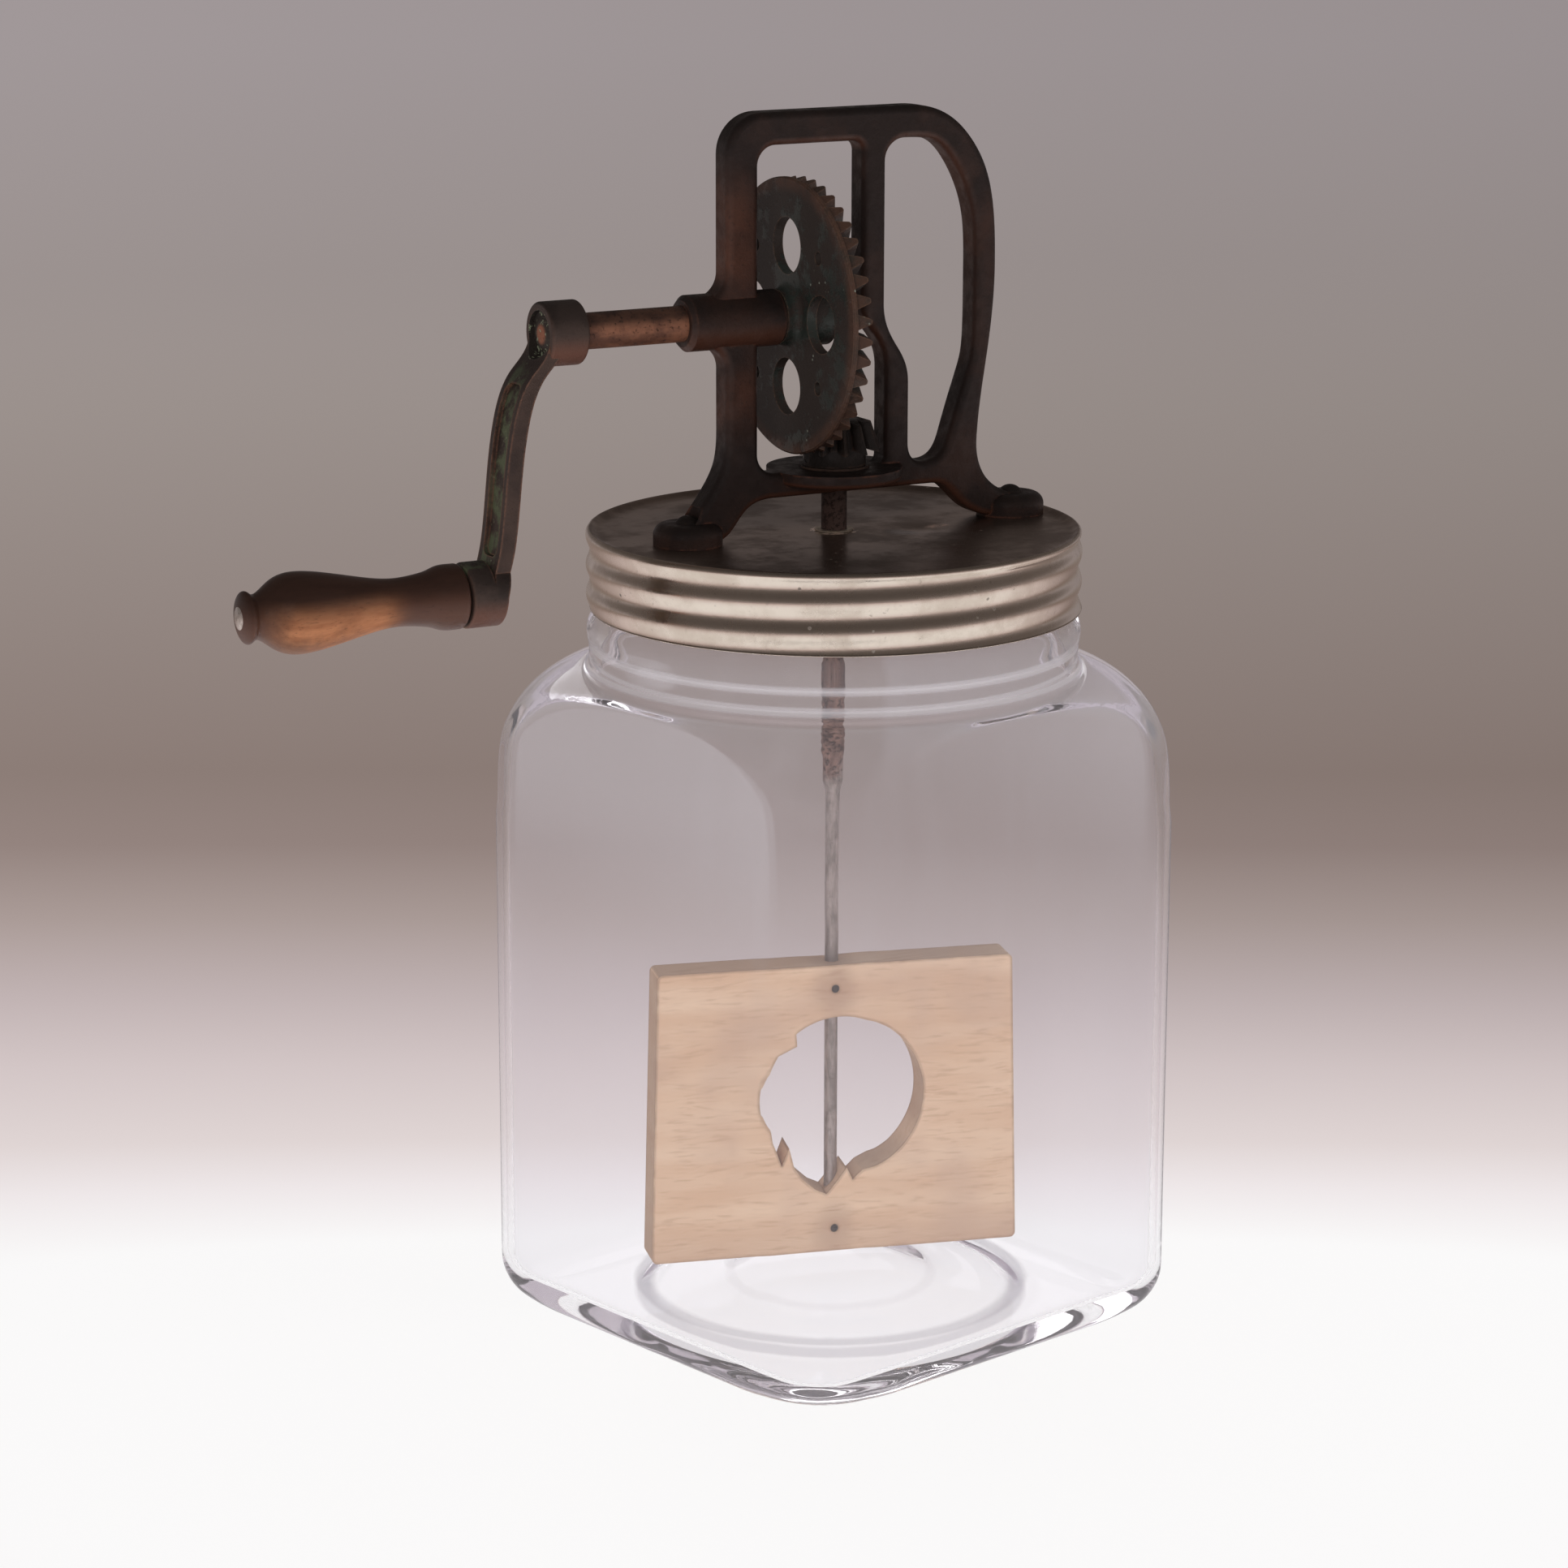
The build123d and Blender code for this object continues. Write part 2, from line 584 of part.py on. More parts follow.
def gear_place(u, h):
    """From a gear tooth's own drawing to space, for the tooth at the bottom; apex at the origin."""
    return Vector(-PINION_PITCH_RADIUS + h * CONE_COS, u, -(GEAR_PITCH_RADIUS + h * CONE_SIN))


def pinion_place(u, h):
    """From a pinion tooth's own drawing to space, for a tooth towards -X; apex at the origin."""
    return Vector(-(PINION_PITCH_RADIUS + h * CONE_COS), u, -(GEAR_PITCH_RADIUS + h * CONE_SIN))


def drive_gear():
    root_x = -PINION_PITCH_RADIUS - GEAR_DEDENDUM * CONE_COS
    root_r = GEAR_PITCH_RADIUS - GEAR_DEDENDUM * CONE_SIN
    web_back = GEAR_FRONT + WEB_THICKNESS
    hub_back_radius = 8.4
    flare = 2.2
    bevel = 0.5
    face = outline(
        Polyline(
            (GEAR_HUB_FRONT, SHAFT_RADIUS),
            (GEAR_HUB_FRONT, GEAR_HUB_RADIUS),
            (GEAR_FRONT - flare, GEAR_HUB_RADIUS),
        ),
        rounded_corner(
            (GEAR_FRONT - flare, GEAR_HUB_RADIUS),
            (GEAR_FRONT, GEAR_HUB_RADIUS),
            (GEAR_FRONT, GEAR_HUB_RADIUS + flare),
        ),
        Polyline(
            (GEAR_FRONT, GEAR_HUB_RADIUS + flare),
            (GEAR_FRONT, GEAR_RIM_RADIUS - bevel),
            (GEAR_FRONT + bevel, GEAR_RIM_RADIUS),
            (root_x - bevel, GEAR_RIM_RADIUS),
            (root_x, root_r),
            (root_x * INNER_SCALE, root_r * INNER_SCALE),
            (web_back, root_r * INNER_SCALE - 1.2),
            (web_back, hub_back_radius),
            (GEAR_HUB_BACK, hub_back_radius),
            (GEAR_HUB_BACK, SHAFT_RADIUS),
            (GEAR_HUB_FRONT, SHAFT_RADIUS),
        ),
    )
    blank = revolve(Plane.XZ * face, axis=Axis.X)
    for quarter in range(4):
        across = Rot(quarter * 90, 0, 0)
        through = GEAR_HUB_FRONT - 1
        blank = blank - across * bar_along_x(WINDOW_HOLE_RADIUS, through, web_back + 1, WINDOW_HOLE_CIRCLE)
        across = Rot(quarter * 90 + 45, 0, 0)
        blank = blank - across * bar_along_x(SMALL_HOLE_RADIUS, through, web_back + 1, SMALL_HOLE_CIRCLE)
    tooth = tapered_tooth(gear_tooth_profile(), gear_place)
    teeth = [Rot(i * 360 / GEAR_TEETH, 0, 0) * tooth for i in range(GEAR_TEETH)]
    gear = blank + teeth
    gear = gear - rod(CROSS_PIN_RADIUS, -20, 20, GEAR_PIN_X)
    return Pos(0, 0, SHAFT_HEIGHT) * gear


def pinion():
    apex = SHAFT_HEIGHT
    root_r = PINION_PITCH_RADIUS - PINION_DEDENDUM * CONE_COS
    root_z = -GEAR_PITCH_RADIUS + PINION_DEDENDUM * CONE_SIN
    face = outline(
        Polyline(
            (SPINDLE_RADIUS, CROSSBAR_TOP + PINION_WASHER - apex),
            (PINION_HUB_RADIUS, CROSSBAR_TOP + PINION_WASHER - apex),
            (PINION_HUB_RADIUS, root_z),
            (root_r, root_z),
            (root_r * INNER_SCALE, root_z * INNER_SCALE),
            (SPINDLE_RADIUS, root_z * INNER_SCALE),
            close=True,
        )
    )
    blank = turned(face)
    half_step = 180 / PINION_TEETH
    tooth = Rot(0, 0, half_step) * tapered_tooth(pinion_tooth_profile(), pinion_place)
    teeth = [Rot(0, 0, i * 2 * half_step) * tooth for i in range(PINION_TEETH)]
    wheel = Pos(0, 0, apex) * (blank + teeth)
    return wheel - bar_along_x(CROSS_PIN_RADIUS, -20, 20, PINION_PIN_HEIGHT)


def pinion_washer():
    blank = rod(PINION_HUB_RADIUS + 1, CROSSBAR_TOP, CROSSBAR_TOP + PINION_WASHER)
    return blank - rod(SPINDLE_RADIUS + 0.08, CROSSBAR_TOP - 1, CROSSBAR_TOP + 2)


def pinion_pin():
    return bar_along_x(CROSS_PIN_RADIUS, -PINION_HUB_RADIUS + 0.2, PINION_HUB_RADIUS - 0.2, PINION_PIN_HEIGHT)


def gear_pin():
    return rod(CROSS_PIN_RADIUS, SHAFT_HEIGHT - 8.2, SHAFT_HEIGHT + 8.2, GEAR_PIN_X)


def shaft_washer():
    blank = bar_along_x(BOSS_RADIUS - 0.4, BOSS_INNER_END, GEAR_HUB_FRONT, SHAFT_HEIGHT)
    return blank - bar_along_x(SHAFT_RADIUS + 0.08, BOSS_INNER_END - 1, GEAR_HUB_FRONT + 1, SHAFT_HEIGHT)


# ---- crank --------------------------------------------------------------------------------
def crank_shaft():
    """The shaft; its outer end is hammered over in the recess of the crank's hub."""
    start = HUB_OUTER_END + 0.2
    dome_length = 1.0
    end = GEAR_HUB_BACK + 1.0
    face = outline(
        Line((start, 0), (end, 0)),
        Polyline((end, 0), (end, SHAFT_RADIUS - 0.6), (end - 0.6, SHAFT_RADIUS)),
        Line((end - 0.6, SHAFT_RADIUS), (start + dome_length, SHAFT_RADIUS)),
        cap_arc(SHAFT_RADIUS, start + dome_length, start, on_shaft=True),
    )
    shaft = turned_on_shaft(face)
    return shaft - rod(CROSS_PIN_RADIUS, SHAFT_HEIGHT - 20, SHAFT_HEIGHT + 20, GEAR_PIN_X)


def arm_face_curve(depth):
    """The arm's outer face seen from the side, set in by depth: an S from the hub to the grip."""
    return Spline(
        (HUB_OUTER_END + depth, SHAFT_HEIGHT - 2),
        (-94.2 + depth, 271.6),
        (-99.4 + depth, 258),
        (-102.0 + depth, 238),
        (-103.6 + depth, 226),
        (ARM_END_FACE + depth, CRANK_PIN_HEIGHT),
        tangents=[(-0.25, -1), (-0.25, -1)],
    )


def arm_side(depth_from, depth_to, rise):
    """The arm's side view between two depths below its outer face, carried past both ends."""
    near = arm_face_curve(depth_from)
    far = arm_face_curve(depth_to)
    top = SHAFT_HEIGHT + rise
    bottom = CRANK_PIN_HEIGHT - 12
    near_top = near @ 0
    far_top = far @ 0
    near_end = near @ 1
    far_end = far @ 1
    return outline(
        near,
        Polyline(near_end, (near_end.X - 0.8, bottom), (far_end.X - 0.8, bottom), far_end),
        far,
        Polyline(far_top, (far_top.X, top), (near_top.X, top), near_top),
    )


def arm_front(half_width, top_radius, end_radius):
    """The arm's front view, in Y and Z: a tapering bar between two round ends."""
    top = Pos(0, SHAFT_HEIGHT) * Circle(top_radius)
    end = Pos(0, CRANK_PIN_HEIGHT) * Circle(end_radius)
    bar = outline(
        Polyline(
            (-half_width, SHAFT_HEIGHT),
            (half_width, SHAFT_HEIGHT),
            (half_width * 0.94, CRANK_PIN_HEIGHT),
            (-half_width * 0.94, CRANK_PIN_HEIGHT),
            close=True,
        )
    )
    return extrude(Plane.YZ * (top + end + bar), amount=-130)


def crank_arm():
    strip = slab(arm_side(0, ARM_THICKNESS, 12), 30)
    arm = strip & arm_front(ARM_HALF_WIDTH, ARM_HALF_WIDTH, ARM_END_RADIUS)
    channel = slab(arm_side(-1, CHANNEL_DEPTH, 0), 30)
    top = SHAFT_HEIGHT - 12.5
    bottom = CRANK_PIN_HEIGHT + 10
    half = CHANNEL_HALF_WIDTH
    low_half = half * 0.92
    channel_front = outline(
        Polyline((-half, top), (half, top), (low_half, bottom), (-low_half, bottom), close=True)
    )
    channel_front = fillet(channel_front.vertices(), 2.5)
    arm = arm - (channel & extrude(Plane.YZ * channel_front, amount=-130))
    hub = bar_along_x(HUB_RADIUS, HUB_OUTER_END, HUB_INNER_END, SHAFT_HEIGHT)
    hub = fillet(hub.edges().group_by(Axis.X)[0] + hub.edges().group_by(Axis.X)[-1], 0.9)
    end_boss = bar_along_x(ARM_END_RADIUS, ARM_BOSS_END, ARM_END_FACE + 1, CRANK_PIN_HEIGHT)
    end_boss = fillet(end_boss.edges().group_by(Axis.X)[0], 0.8)
    arm = arm + hub + end_boss
    recess_end = HUB_OUTER_END + HUB_RECESS_DEPTH
    arm = arm - bar_along_x(HUB_RECESS_RADIUS, HUB_OUTER_END - 20, recess_end, SHAFT_HEIGHT)
    arm = arm - bar_along_x(SHAFT_RADIUS, HUB_OUTER_END - 1, HUB_INNER_END + 1, SHAFT_HEIGHT)
    return arm - bar_along_x(GRIP_PIN_RADIUS, -120, -90, CRANK_PIN_HEIGHT)


# ---- grip ---------------------------------------------------------------------------------
def grip():
    """A turned pear-shaped grip: a bead and a neck at the crank, fullest near the free end."""
    bore = GRIP_PIN_RADIUS + GRIP_BORE_CLEARANCE
    inner = GRIP_INNER_END
    outer = GRIP_OUTER_END
    bead = 8.7
    face = outline(
        Line((inner, bore), (inner, bead - 1.0)),
        ThreePointArc((inner, bead - 1.0), (inner - 0.35, bead - 0.3), (inner - 1.0, bead)),
        Spline(
            (inner - 1.0, bead), (inner - 6.2, bead - 0.3), (inner - 8.2, bead - 1.0),
            (inner - 12, 6.9), (inner - 18.5, 6.4), (inner - 28, 7.7), (inner - 37, 9.6),
            (inner - 44.5, 10.7), (outer + 9.6, 9.1), (outer + 3.4, 6.1), (outer, PIN_HEAD_RADIUS),
            tangents=[(-1, 0), (-0.25, -1)],
        ),
        Line((outer, PIN_HEAD_RADIUS), (outer, bore)),
        Line((outer, bore), (inner, bore)),
    )
    return turned_on_shaft(face, CRANK_PIN_HEIGHT)


def grip_pin():
    """The pin the grip turns on, riveted over in the arm and domed at the free end."""
    start = GRIP_OUTER_END
    end = ARM_END_FACE + ARM_THICKNESS
    face = outline(
        Polyline(
            (start - PIN_HEAD_LENGTH, 0), (end + 0.9, 0), (end + 0.9, GRIP_PIN_RADIUS - 0.5),
            (end + 0.4, GRIP_PIN_RADIUS), (start, GRIP_PIN_RADIUS), (start, PIN_HEAD_RADIUS),
        ),
        cap_arc(PIN_HEAD_RADIUS, start, start - PIN_HEAD_LENGTH, on_shaft=True),
    )
    return turned_on_shaft(face, CRANK_PIN_HEIGHT)


def grip_washer():
    blank = bar_along_x(GRIP_WASHER_RADIUS, GRIP_INNER_END + 0.1, ARM_BOSS_END, CRANK_PIN_HEIGHT)
    return blank - bar_along_x(GRIP_PIN_RADIUS, GRIP_INNER_END - 1, ARM_BOSS_END + 1, CRANK_PIN_HEIGHT)


# ---- spindle and paddle -------------------------------------------------------------------
def spindle():
    """The spindle: full size through the lid, drawn down in two steps to the paddle's rod."""
    low = PADDLE_BOTTOM + 0.8
    face = outline(
        Polyline(
            (0, low),
            (ROD_RADIUS - 0.4, low),
            (ROD_RADIUS, low + 0.5),
            (ROD_RADIUS, SPINDLE_STEP_HEIGHT - 3),
            (SPINDLE_MIDDLE_RADIUS, SPINDLE_STEP_HEIGHT),
            (SPINDLE_MIDDLE_RADIUS, PANEL_UNDERSIDE - 9),
            (SPINDLE_RADIUS, PANEL_UNDERSIDE - 6),
            (SPINDLE_RADIUS, SPINDLE_TOP - 0.8),
            (SPINDLE_RADIUS - 0.8, SPINDLE_TOP),
            (0, SPINDLE_TOP),
            close=True,
        )
    )
    shaft = turned(face) - bar_along_x(CROSS_PIN_RADIUS, -20, 20, PINION_PIN_HEIGHT)
    for height in PADDLE_PIN_HEIGHTS:
        shaft = shaft - across_paddle(PADDLE_PIN_RADIUS, 20, height)
    return shaft


def across_paddle(radius, length, height):
    """A round bar square to the paddle's faces."""
    bar = Cylinder(radius, length)
    return Rot(0, 0, PADDLE_TURN) * Pos(0, 0, height) * Rot(90, 0, 0) * bar


def beside_hole(*points):
    """A patch of the paddle's front view, with its corners given from the centre of the hole."""
    moved = [(x + PADDLE_HOLE_OFFSET, z + PADDLE_HOLE_HEIGHT) for x, z in points]
    return make_face(Polyline(*moved, close=True))


def paddle():
    """A tapered board with a round hole.  Old breaks along the grain spoil the hole's lower edge."""
    corners = [
        (-PADDLE_BOTTOM_WIDTH / 2, PADDLE_BOTTOM),
        (PADDLE_BOTTOM_WIDTH / 2, PADDLE_BOTTOM),
        (PADDLE_TOP_WIDTH / 2, PADDLE_TOP),
        (-PADDLE_TOP_WIDTH / 2, PADDLE_TOP),
    ]
    board = make_face(Polyline(*corners, close=True))
    board = fillet(board.vertices(), PADDLE_CORNER)
    board = board - Pos(PADDLE_HOLE_OFFSET, PADDLE_HOLE_HEIGHT) * Circle(PADDLE_HOLE_RADIUS)
    board = board - beside_hole(
        (-22.2, -5.5), (-21.2, -12.2), (-18.2, -19.4), (-14.0, -20.4), (-11.6, -23.6), (-7.6, -27.0),
        (-4.0, -28.6), (-1.2, -25.6), (4.4, -24.9), (8.6, -21.4), (-8, -8),
    )
    splinters = [
        beside_hole((-19.0, -21.4), (-18.2, -19.4), (-15.7, -14.2), (-14.0, -20.4), (-13.8, -22.5)),
        beside_hole((-1.6, -26.4), (-1.2, -25.6), (2.4, -21.2), (4.4, -24.9), (4.6, -26.0)),
        beside_hole((-13.6, 20.0), (-13.2, 15.6), (-16.6, 14.2), (-20.8, 12.6), (-22.0, 13.4)),
    ]
    for splinter in splinters:
        board = board + splinter
    blank = slab(board, PADDLE_THICKNESS)
    blank = Rot(0, 0, PADDLE_TURN) * blank
    blank = blank - rod(ROD_RADIUS, PADDLE_BOTTOM + 0.8, PADDLE_TOP + 1)
    for height in PADDLE_PIN_HEIGHTS:
        blank = blank - across_paddle(PADDLE_PIN_RADIUS, 30, height)
    return blank


def paddle_pins():
    pins = [across_paddle(PADDLE_PIN_RADIUS, PADDLE_THICKNESS - 0.4, height) for height in PADDLE_PIN_HEIGHTS]
    return Compound(children=[pin.solid() for pin in pins])


# ---- write the parts ----------------------------------------------------------------------
PARTS = {
    "glass_jar": glass_jar,
    "screw_lid": screw_lid,
    "lid_gasket": lid_gasket,
    "spindle_eyelet": spindle_eyelet,
    "frame_rivets": frame_rivets,
    "rivet_washers": rivet_washers,
    "gear_frame": gear_frame,
    "crank_shaft": crank_shaft,
    "shaft_washer": shaft_washer,
    "drive_gear": drive_gear,
    "gear_pin": gear_pin,
    "pinion": pinion,
    "pinion_washer": pinion_washer,
    "pinion_pin": pinion_pin,
    "crank_arm": crank_arm,
    "grip": grip,
    "grip_pin": grip_pin,
    "grip_washer": grip_washer,
    "spindle": spindle,
    "paddle": paddle,
    "paddle_pins": paddle_pins,
}

os.makedirs("parts", exist_ok=True)
for name, make in PARTS.items():
    export_step(make(), f"parts/{name}.step")
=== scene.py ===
import bpy
import math
from mathutils import Matrix, Vector, noise


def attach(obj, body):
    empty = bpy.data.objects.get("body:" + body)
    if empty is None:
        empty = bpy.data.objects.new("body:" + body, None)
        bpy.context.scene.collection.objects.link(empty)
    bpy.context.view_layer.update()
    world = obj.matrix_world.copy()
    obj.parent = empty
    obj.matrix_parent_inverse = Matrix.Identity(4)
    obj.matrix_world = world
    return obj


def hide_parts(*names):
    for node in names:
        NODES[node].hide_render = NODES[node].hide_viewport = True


# A hand-cranked mixing jar. Meshes made here are given in millimetres; the camera, the lamps and
# the places in materials are in metres. Colours are display values from 0 to 255. The jar stands
# on Z = 0 with its axis along Z, and the crank shaft lies along X with the crank towards -X.

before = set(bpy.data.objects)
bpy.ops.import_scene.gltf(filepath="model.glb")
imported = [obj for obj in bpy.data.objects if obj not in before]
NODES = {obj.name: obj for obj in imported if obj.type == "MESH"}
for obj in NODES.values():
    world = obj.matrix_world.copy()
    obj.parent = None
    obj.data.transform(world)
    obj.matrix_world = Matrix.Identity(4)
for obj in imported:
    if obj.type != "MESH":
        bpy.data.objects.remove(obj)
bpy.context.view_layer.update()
MM = 0.001

# ---- camera ------------------------------------------------------------------------------
CAMERA_LENS = 103.9
CAMERA_PLACE = (-0.5936, -1.0649, 0.4544)
CAMERA_TURN = -28.5
CAMERA_TILT = 76.0
CAMERA_ROLL = 0.11
CAMERA_CLIP = 0.01


def make_camera():
    data = bpy.data.cameras.new("camera")
    data.lens = CAMERA_LENS
    data.clip_start = CAMERA_CLIP
    camera = bpy.data.objects.new("camera", data)
    turn = Matrix.Rotation(math.radians(CAMERA_TURN), 4, "Z")
    tilt = Matrix.Rotation(math.radians(CAMERA_TILT), 4, "X")
    roll = Matrix.Rotation(math.radians(CAMERA_ROLL), 4, "Z")
    camera.matrix_world = Matrix.Translation(CAMERA_PLACE) @ turn @ tilt @ roll
    bpy.context.scene.collection.objects.link(camera)
    bpy.context.scene.camera = camera
    bpy.context.scene.view_settings.view_transform = "Standard"


# ---- node helpers ------------------------------------------------------------------------
EDGE_SAMPLES = 4
# cosine of the angle between the flat and the rounded direction, where an edge begins and is full
EDGE_BEND = (0.99, 0.86)
# colour of the painted shade on the sides that face up
TOP_SHADE = (24, 18, 16)
# upward part of the direction, where the painted shade on top and the painted light from below
# begin and are full
FACING_UP = (0.05, 0.65)
FACING_DOWN = (0.10, -0.60)
MIX_FACTOR, MIX_FIRST, MIX_SECOND = 0, 6, 7     # a colour Mix node's sockets
MIX_RESULT = 2


def colour(red, green, blue):
    """A colour given as 0 to 255 display values, as the shader's linear values."""
    linear = []
    for value in (red, green, blue):
        c = value / 255
        linear.append(c / 12.92 if c <= 0.04045 else ((c + 0.055) / 1.055) ** 2.4)
    return (*linear, 1.0)


class Look:
    """A node material round one Principled shader, with short names for the nodes used here."""

    def __init__(self, name):
        self.material = bpy.data.materials.new(name)
        self.material.use_nodes = True
        self.tree = self.material.node_tree
        self.shader = next(n for n in self.tree.nodes if n.type == "BSDF_PRINCIPLED")
        coordinates = self.node("ShaderNodeTexCoord")
        self.place = coordinates.outputs["Object"]
        self.direction = coordinates.outputs["Normal"]

    def put(self, node, socket, value):
        """Sets or links one input of a node, given by its name or number."""
        target = node.inputs[socket]
        if isinstance(value, bpy.types.NodeSocket):
            self.tree.links.new(value, target)
        else:
            target.default_value = value

    def fill(self, node, inputs):
        """Sets or links several inputs; an underscore in a name stands for a space."""
        for name, value in inputs.items():
            self.put(node, name.replace("_", " "), value)
        return node

    def node(self, kind, **inputs):
        return self.fill(self.tree.nodes.new(kind), inputs)

    def set(self, **inputs):
        self.fill(self.shader, inputs)

    def stretched(self, scale, turn=0.0):
        """Object coordinates, turned about Z and scaled by three factors, for grain and streaks."""
        turned = (0.0, 0.0, math.radians(turn))
        node = self.node("ShaderNodeMapping", Vector=self.place, Scale=scale, Rotation=turned)
        return node.outputs["Vector"]

    def noise(self, scale, detail=4.0, roughness=0.55, place=None, distortion=0.0):
        node = self.node("ShaderNodeTexNoise", Vector=place or self.place, Scale=scale,
                         Detail=detail, Roughness=roughness, Distortion=distortion)
        return node.outputs["Fac"]

    def cells(self, scale):
        node = self.node("ShaderNodeTexVoronoi", Vector=self.place, Scale=scale)
        return node.outputs["Distance"]

    def steps(self, factor, low, high, out_low=0.0, out_high=1.0):
        """factor, spread so that low and high become out_low and out_high, and held beyond."""
        node = self.tree.nodes.new("ShaderNodeMapRange")
        node.interpolation_type = "SMOOTHSTEP"
        self.fill(node, {"Value": factor, "From Min": low, "From Max": high,
                         "To Min": out_low, "To Max": out_high})
        return node.outputs["Result"]

    def math(self, operation, a, b=0.0):
        node = self.node("ShaderNodeMath")
        node.operation = operation
        self.put(node, 0, a)
        self.put(node, 1, b)
        return node.outputs[0]

    def chain(self, operation, values):
        total = values[0]
        for value in values[1:]:
            total = self.math(operation, total, value)
        return total

    def plus(self, *terms):
        return self.chain("ADD", terms)

    def minus(self, first, second):
        return self.math("SUBTRACT", first, second)

    def times(self, *factors):
        return self.chain("MULTIPLY", factors)

    def most(self, *values):
        return self.chain("MAXIMUM", values)

    def absolute(self, value):
        return self.math("ABSOLUTE", value)

    def mix(self, factor, first, second):
        """first where factor is 0 and second where it is 1; each a socket or a display colour."""
        node = self.node("ShaderNodeMix")
        node.data_type = "RGBA"
        self.put(node, MIX_FACTOR, factor)
        for socket, value in ((MIX_FIRST, first), (MIX_SECOND, second)):
            self.put(node, socket, colour(*value) if isinstance(value, tuple) else value)
        return node.outputs[MIX_RESULT]

    def axis(self, letter, place=None):
        node = self.node("ShaderNodeSeparateXYZ", Vector=place or self.place)
        return node.outputs[letter]

    def facing(self, letter):
        """One component of the surface's direction, in the piece's own frame."""
        return self.axis(letter, self.direction)

    def away(self, centre, stretch):
        """Distance from a point, with each axis stretched or, with 0, left out."""
        total = None
        for letter, middle, factor in zip("XYZ", centre, stretch):
            if factor == 0:
                continue
            along = self.times(self.minus(self.axis(letter), middle), factor)
            square = self.times(along, along)
            total = square if total is None else self.plus(total, square)
        return self.math("SQRT", total)

    def edges(self, reach):
        """1 along sharp edges, fading to 0 within reach of them."""
        bevel = self.node("ShaderNodeBevel", Radius=reach)
        bevel.samples = EDGE_SAMPLES
        flat = self.node("ShaderNodeNewGeometry").outputs["Normal"]
        across = self.node("ShaderNodeVectorMath")
        across.operation = "DOT_PRODUCT"
        self.put(across, 0, bevel.outputs[0])
        self.put(across, 1, flat)
        return self.steps(across.outputs["Value"], *EDGE_BEND)

    def painted_top_shade(self, base, strength):
        """Painted shade: the sides that face up turn darker, as less light falls on them."""
        shaded_top = self.steps(self.facing("Z"), *FACING_UP, 0.0, strength)
        return self.mix(shaded_top, base, TOP_SHADE)

    def painted_underlight(self, base, strength, brown):
        """Painted light: the sides that face down turn towards the brown colour, as if lit from
        below.
        """
        browned = self.steps(self.facing("Z"), *FACING_DOWN, 0.0, strength)
        return self.mix(browned, base, brown)

    def bump(self, height, strength, distance):
        node = self.node("ShaderNodeBump", Strength=strength, Distance=distance, Height=height)
        return node.outputs["Normal"]


def colour_ramp(tree, stops):
    """A colour ramp node with stops of position and display colour."""
    ramp = tree.nodes.new("ShaderNodeValToRGB")
    elements = ramp.color_ramp.elements
    elements[0].position, elements[0].color = stops[0][0], colour(*stops[0][1])
    elements[1].position, elements[1].color = stops[-1][0], colour(*stops[-1][1])
    for position, display in stops[1:-1]:
        elements.new(position).color = colour(*display)
    return ramp


def choose(tree, factor, first, second):
    """A shader that is first where factor is 0 and second where it is 1."""
    node = tree.nodes.new("ShaderNodeMixShader")
    for index, source in enumerate((factor, first.outputs[0], second.outputs[0])):
        tree.links.new(source, node.inputs[index])
    return node


def show(tree, shader, kind="OUTPUT_MATERIAL"):
    """Connects a shader to the tree's output."""
    output = next(n for n in tree.nodes if n.type == kind)
    tree.links.new(shader.outputs[0], output.inputs["Surface"])


def seeing_rays(tree):
    """1 for rays that see the background: straight, in a reflection or through glass."""
    path = tree.nodes.new("ShaderNodeLightPath")
    total = path.outputs["Is Camera Ray"]
    for name in ("Is Glossy Ray", "Is Transmission Ray"):
        most = tree.nodes.new("ShaderNodeMath")
        most.operation = "MAXIMUM"
        tree.links.new(total, most.inputs[0])
        tree.links.new(path.outputs[name], most.inputs[1])
        total = most.outputs[0]
    return total


# ---- floor, background and light ------------------------------------------------------------
# distance from the jar, as a share d / (d + 1 m), and the table top's colour there
FLOOR_COLOURS = (
    (0.05, (255, 254, 254)),
    (0.090, (243, 236, 237)),
    (0.124, (228, 217, 216)),
    (0.180, (213, 200, 200)),
    (0.231, (193, 179, 179)),
    (0.286, (169, 154, 150)),
    (0.336, (147, 131, 126)),
    (0.385, (139, 124, 118)),
    (0.612, (153, 143, 139)),
    (0.81, (162, 153, 154)),
)
FLOOR_REACH = 40.0
FLOOR_DROP = 0.0002        # keeps the floor's face off the jar's foot
FLOOR_GLOW = 0.86
FLOOR_ALBEDO = 0.16
FLOOR_SLOPE = 0.35         # how much brighter it is to the left than to the right
SLOPE_START = (0.09, 0.3)  # share of the distance where that begins and is full
SLOPE_LIMIT = 0.2
SLOPE_DISTANCE = 1.3       # about as far as the camera stands from the jar
SIDE_FALLOFF = 0.2         # how little distance counts to the sides and in front
WORLD_LIGHT = 0.40
# the room: height of the view, 0 level and 1 straight up, and its colour
ROOM_COLOURS = (
    (0.0, (162, 153, 154)),
    (0.14, (108, 100, 97)),
    (0.5, (84, 77, 74)),
    (1.0, (56, 52, 50)),
)
ROOM_THROUGH_GLASS = (186, 176, 184)
LAMP_TARGET = (0, 0, 0.2)
LAMP_SIZE = 1.2
# place and watts
LAMPS = {
    "key": ((-1.2, -1.4, 0.75), 13),
    "fill": ((1.5, -1.0, 0.75), 7),
    "back": ((0.6, 1.7, 1.0), 5),
}


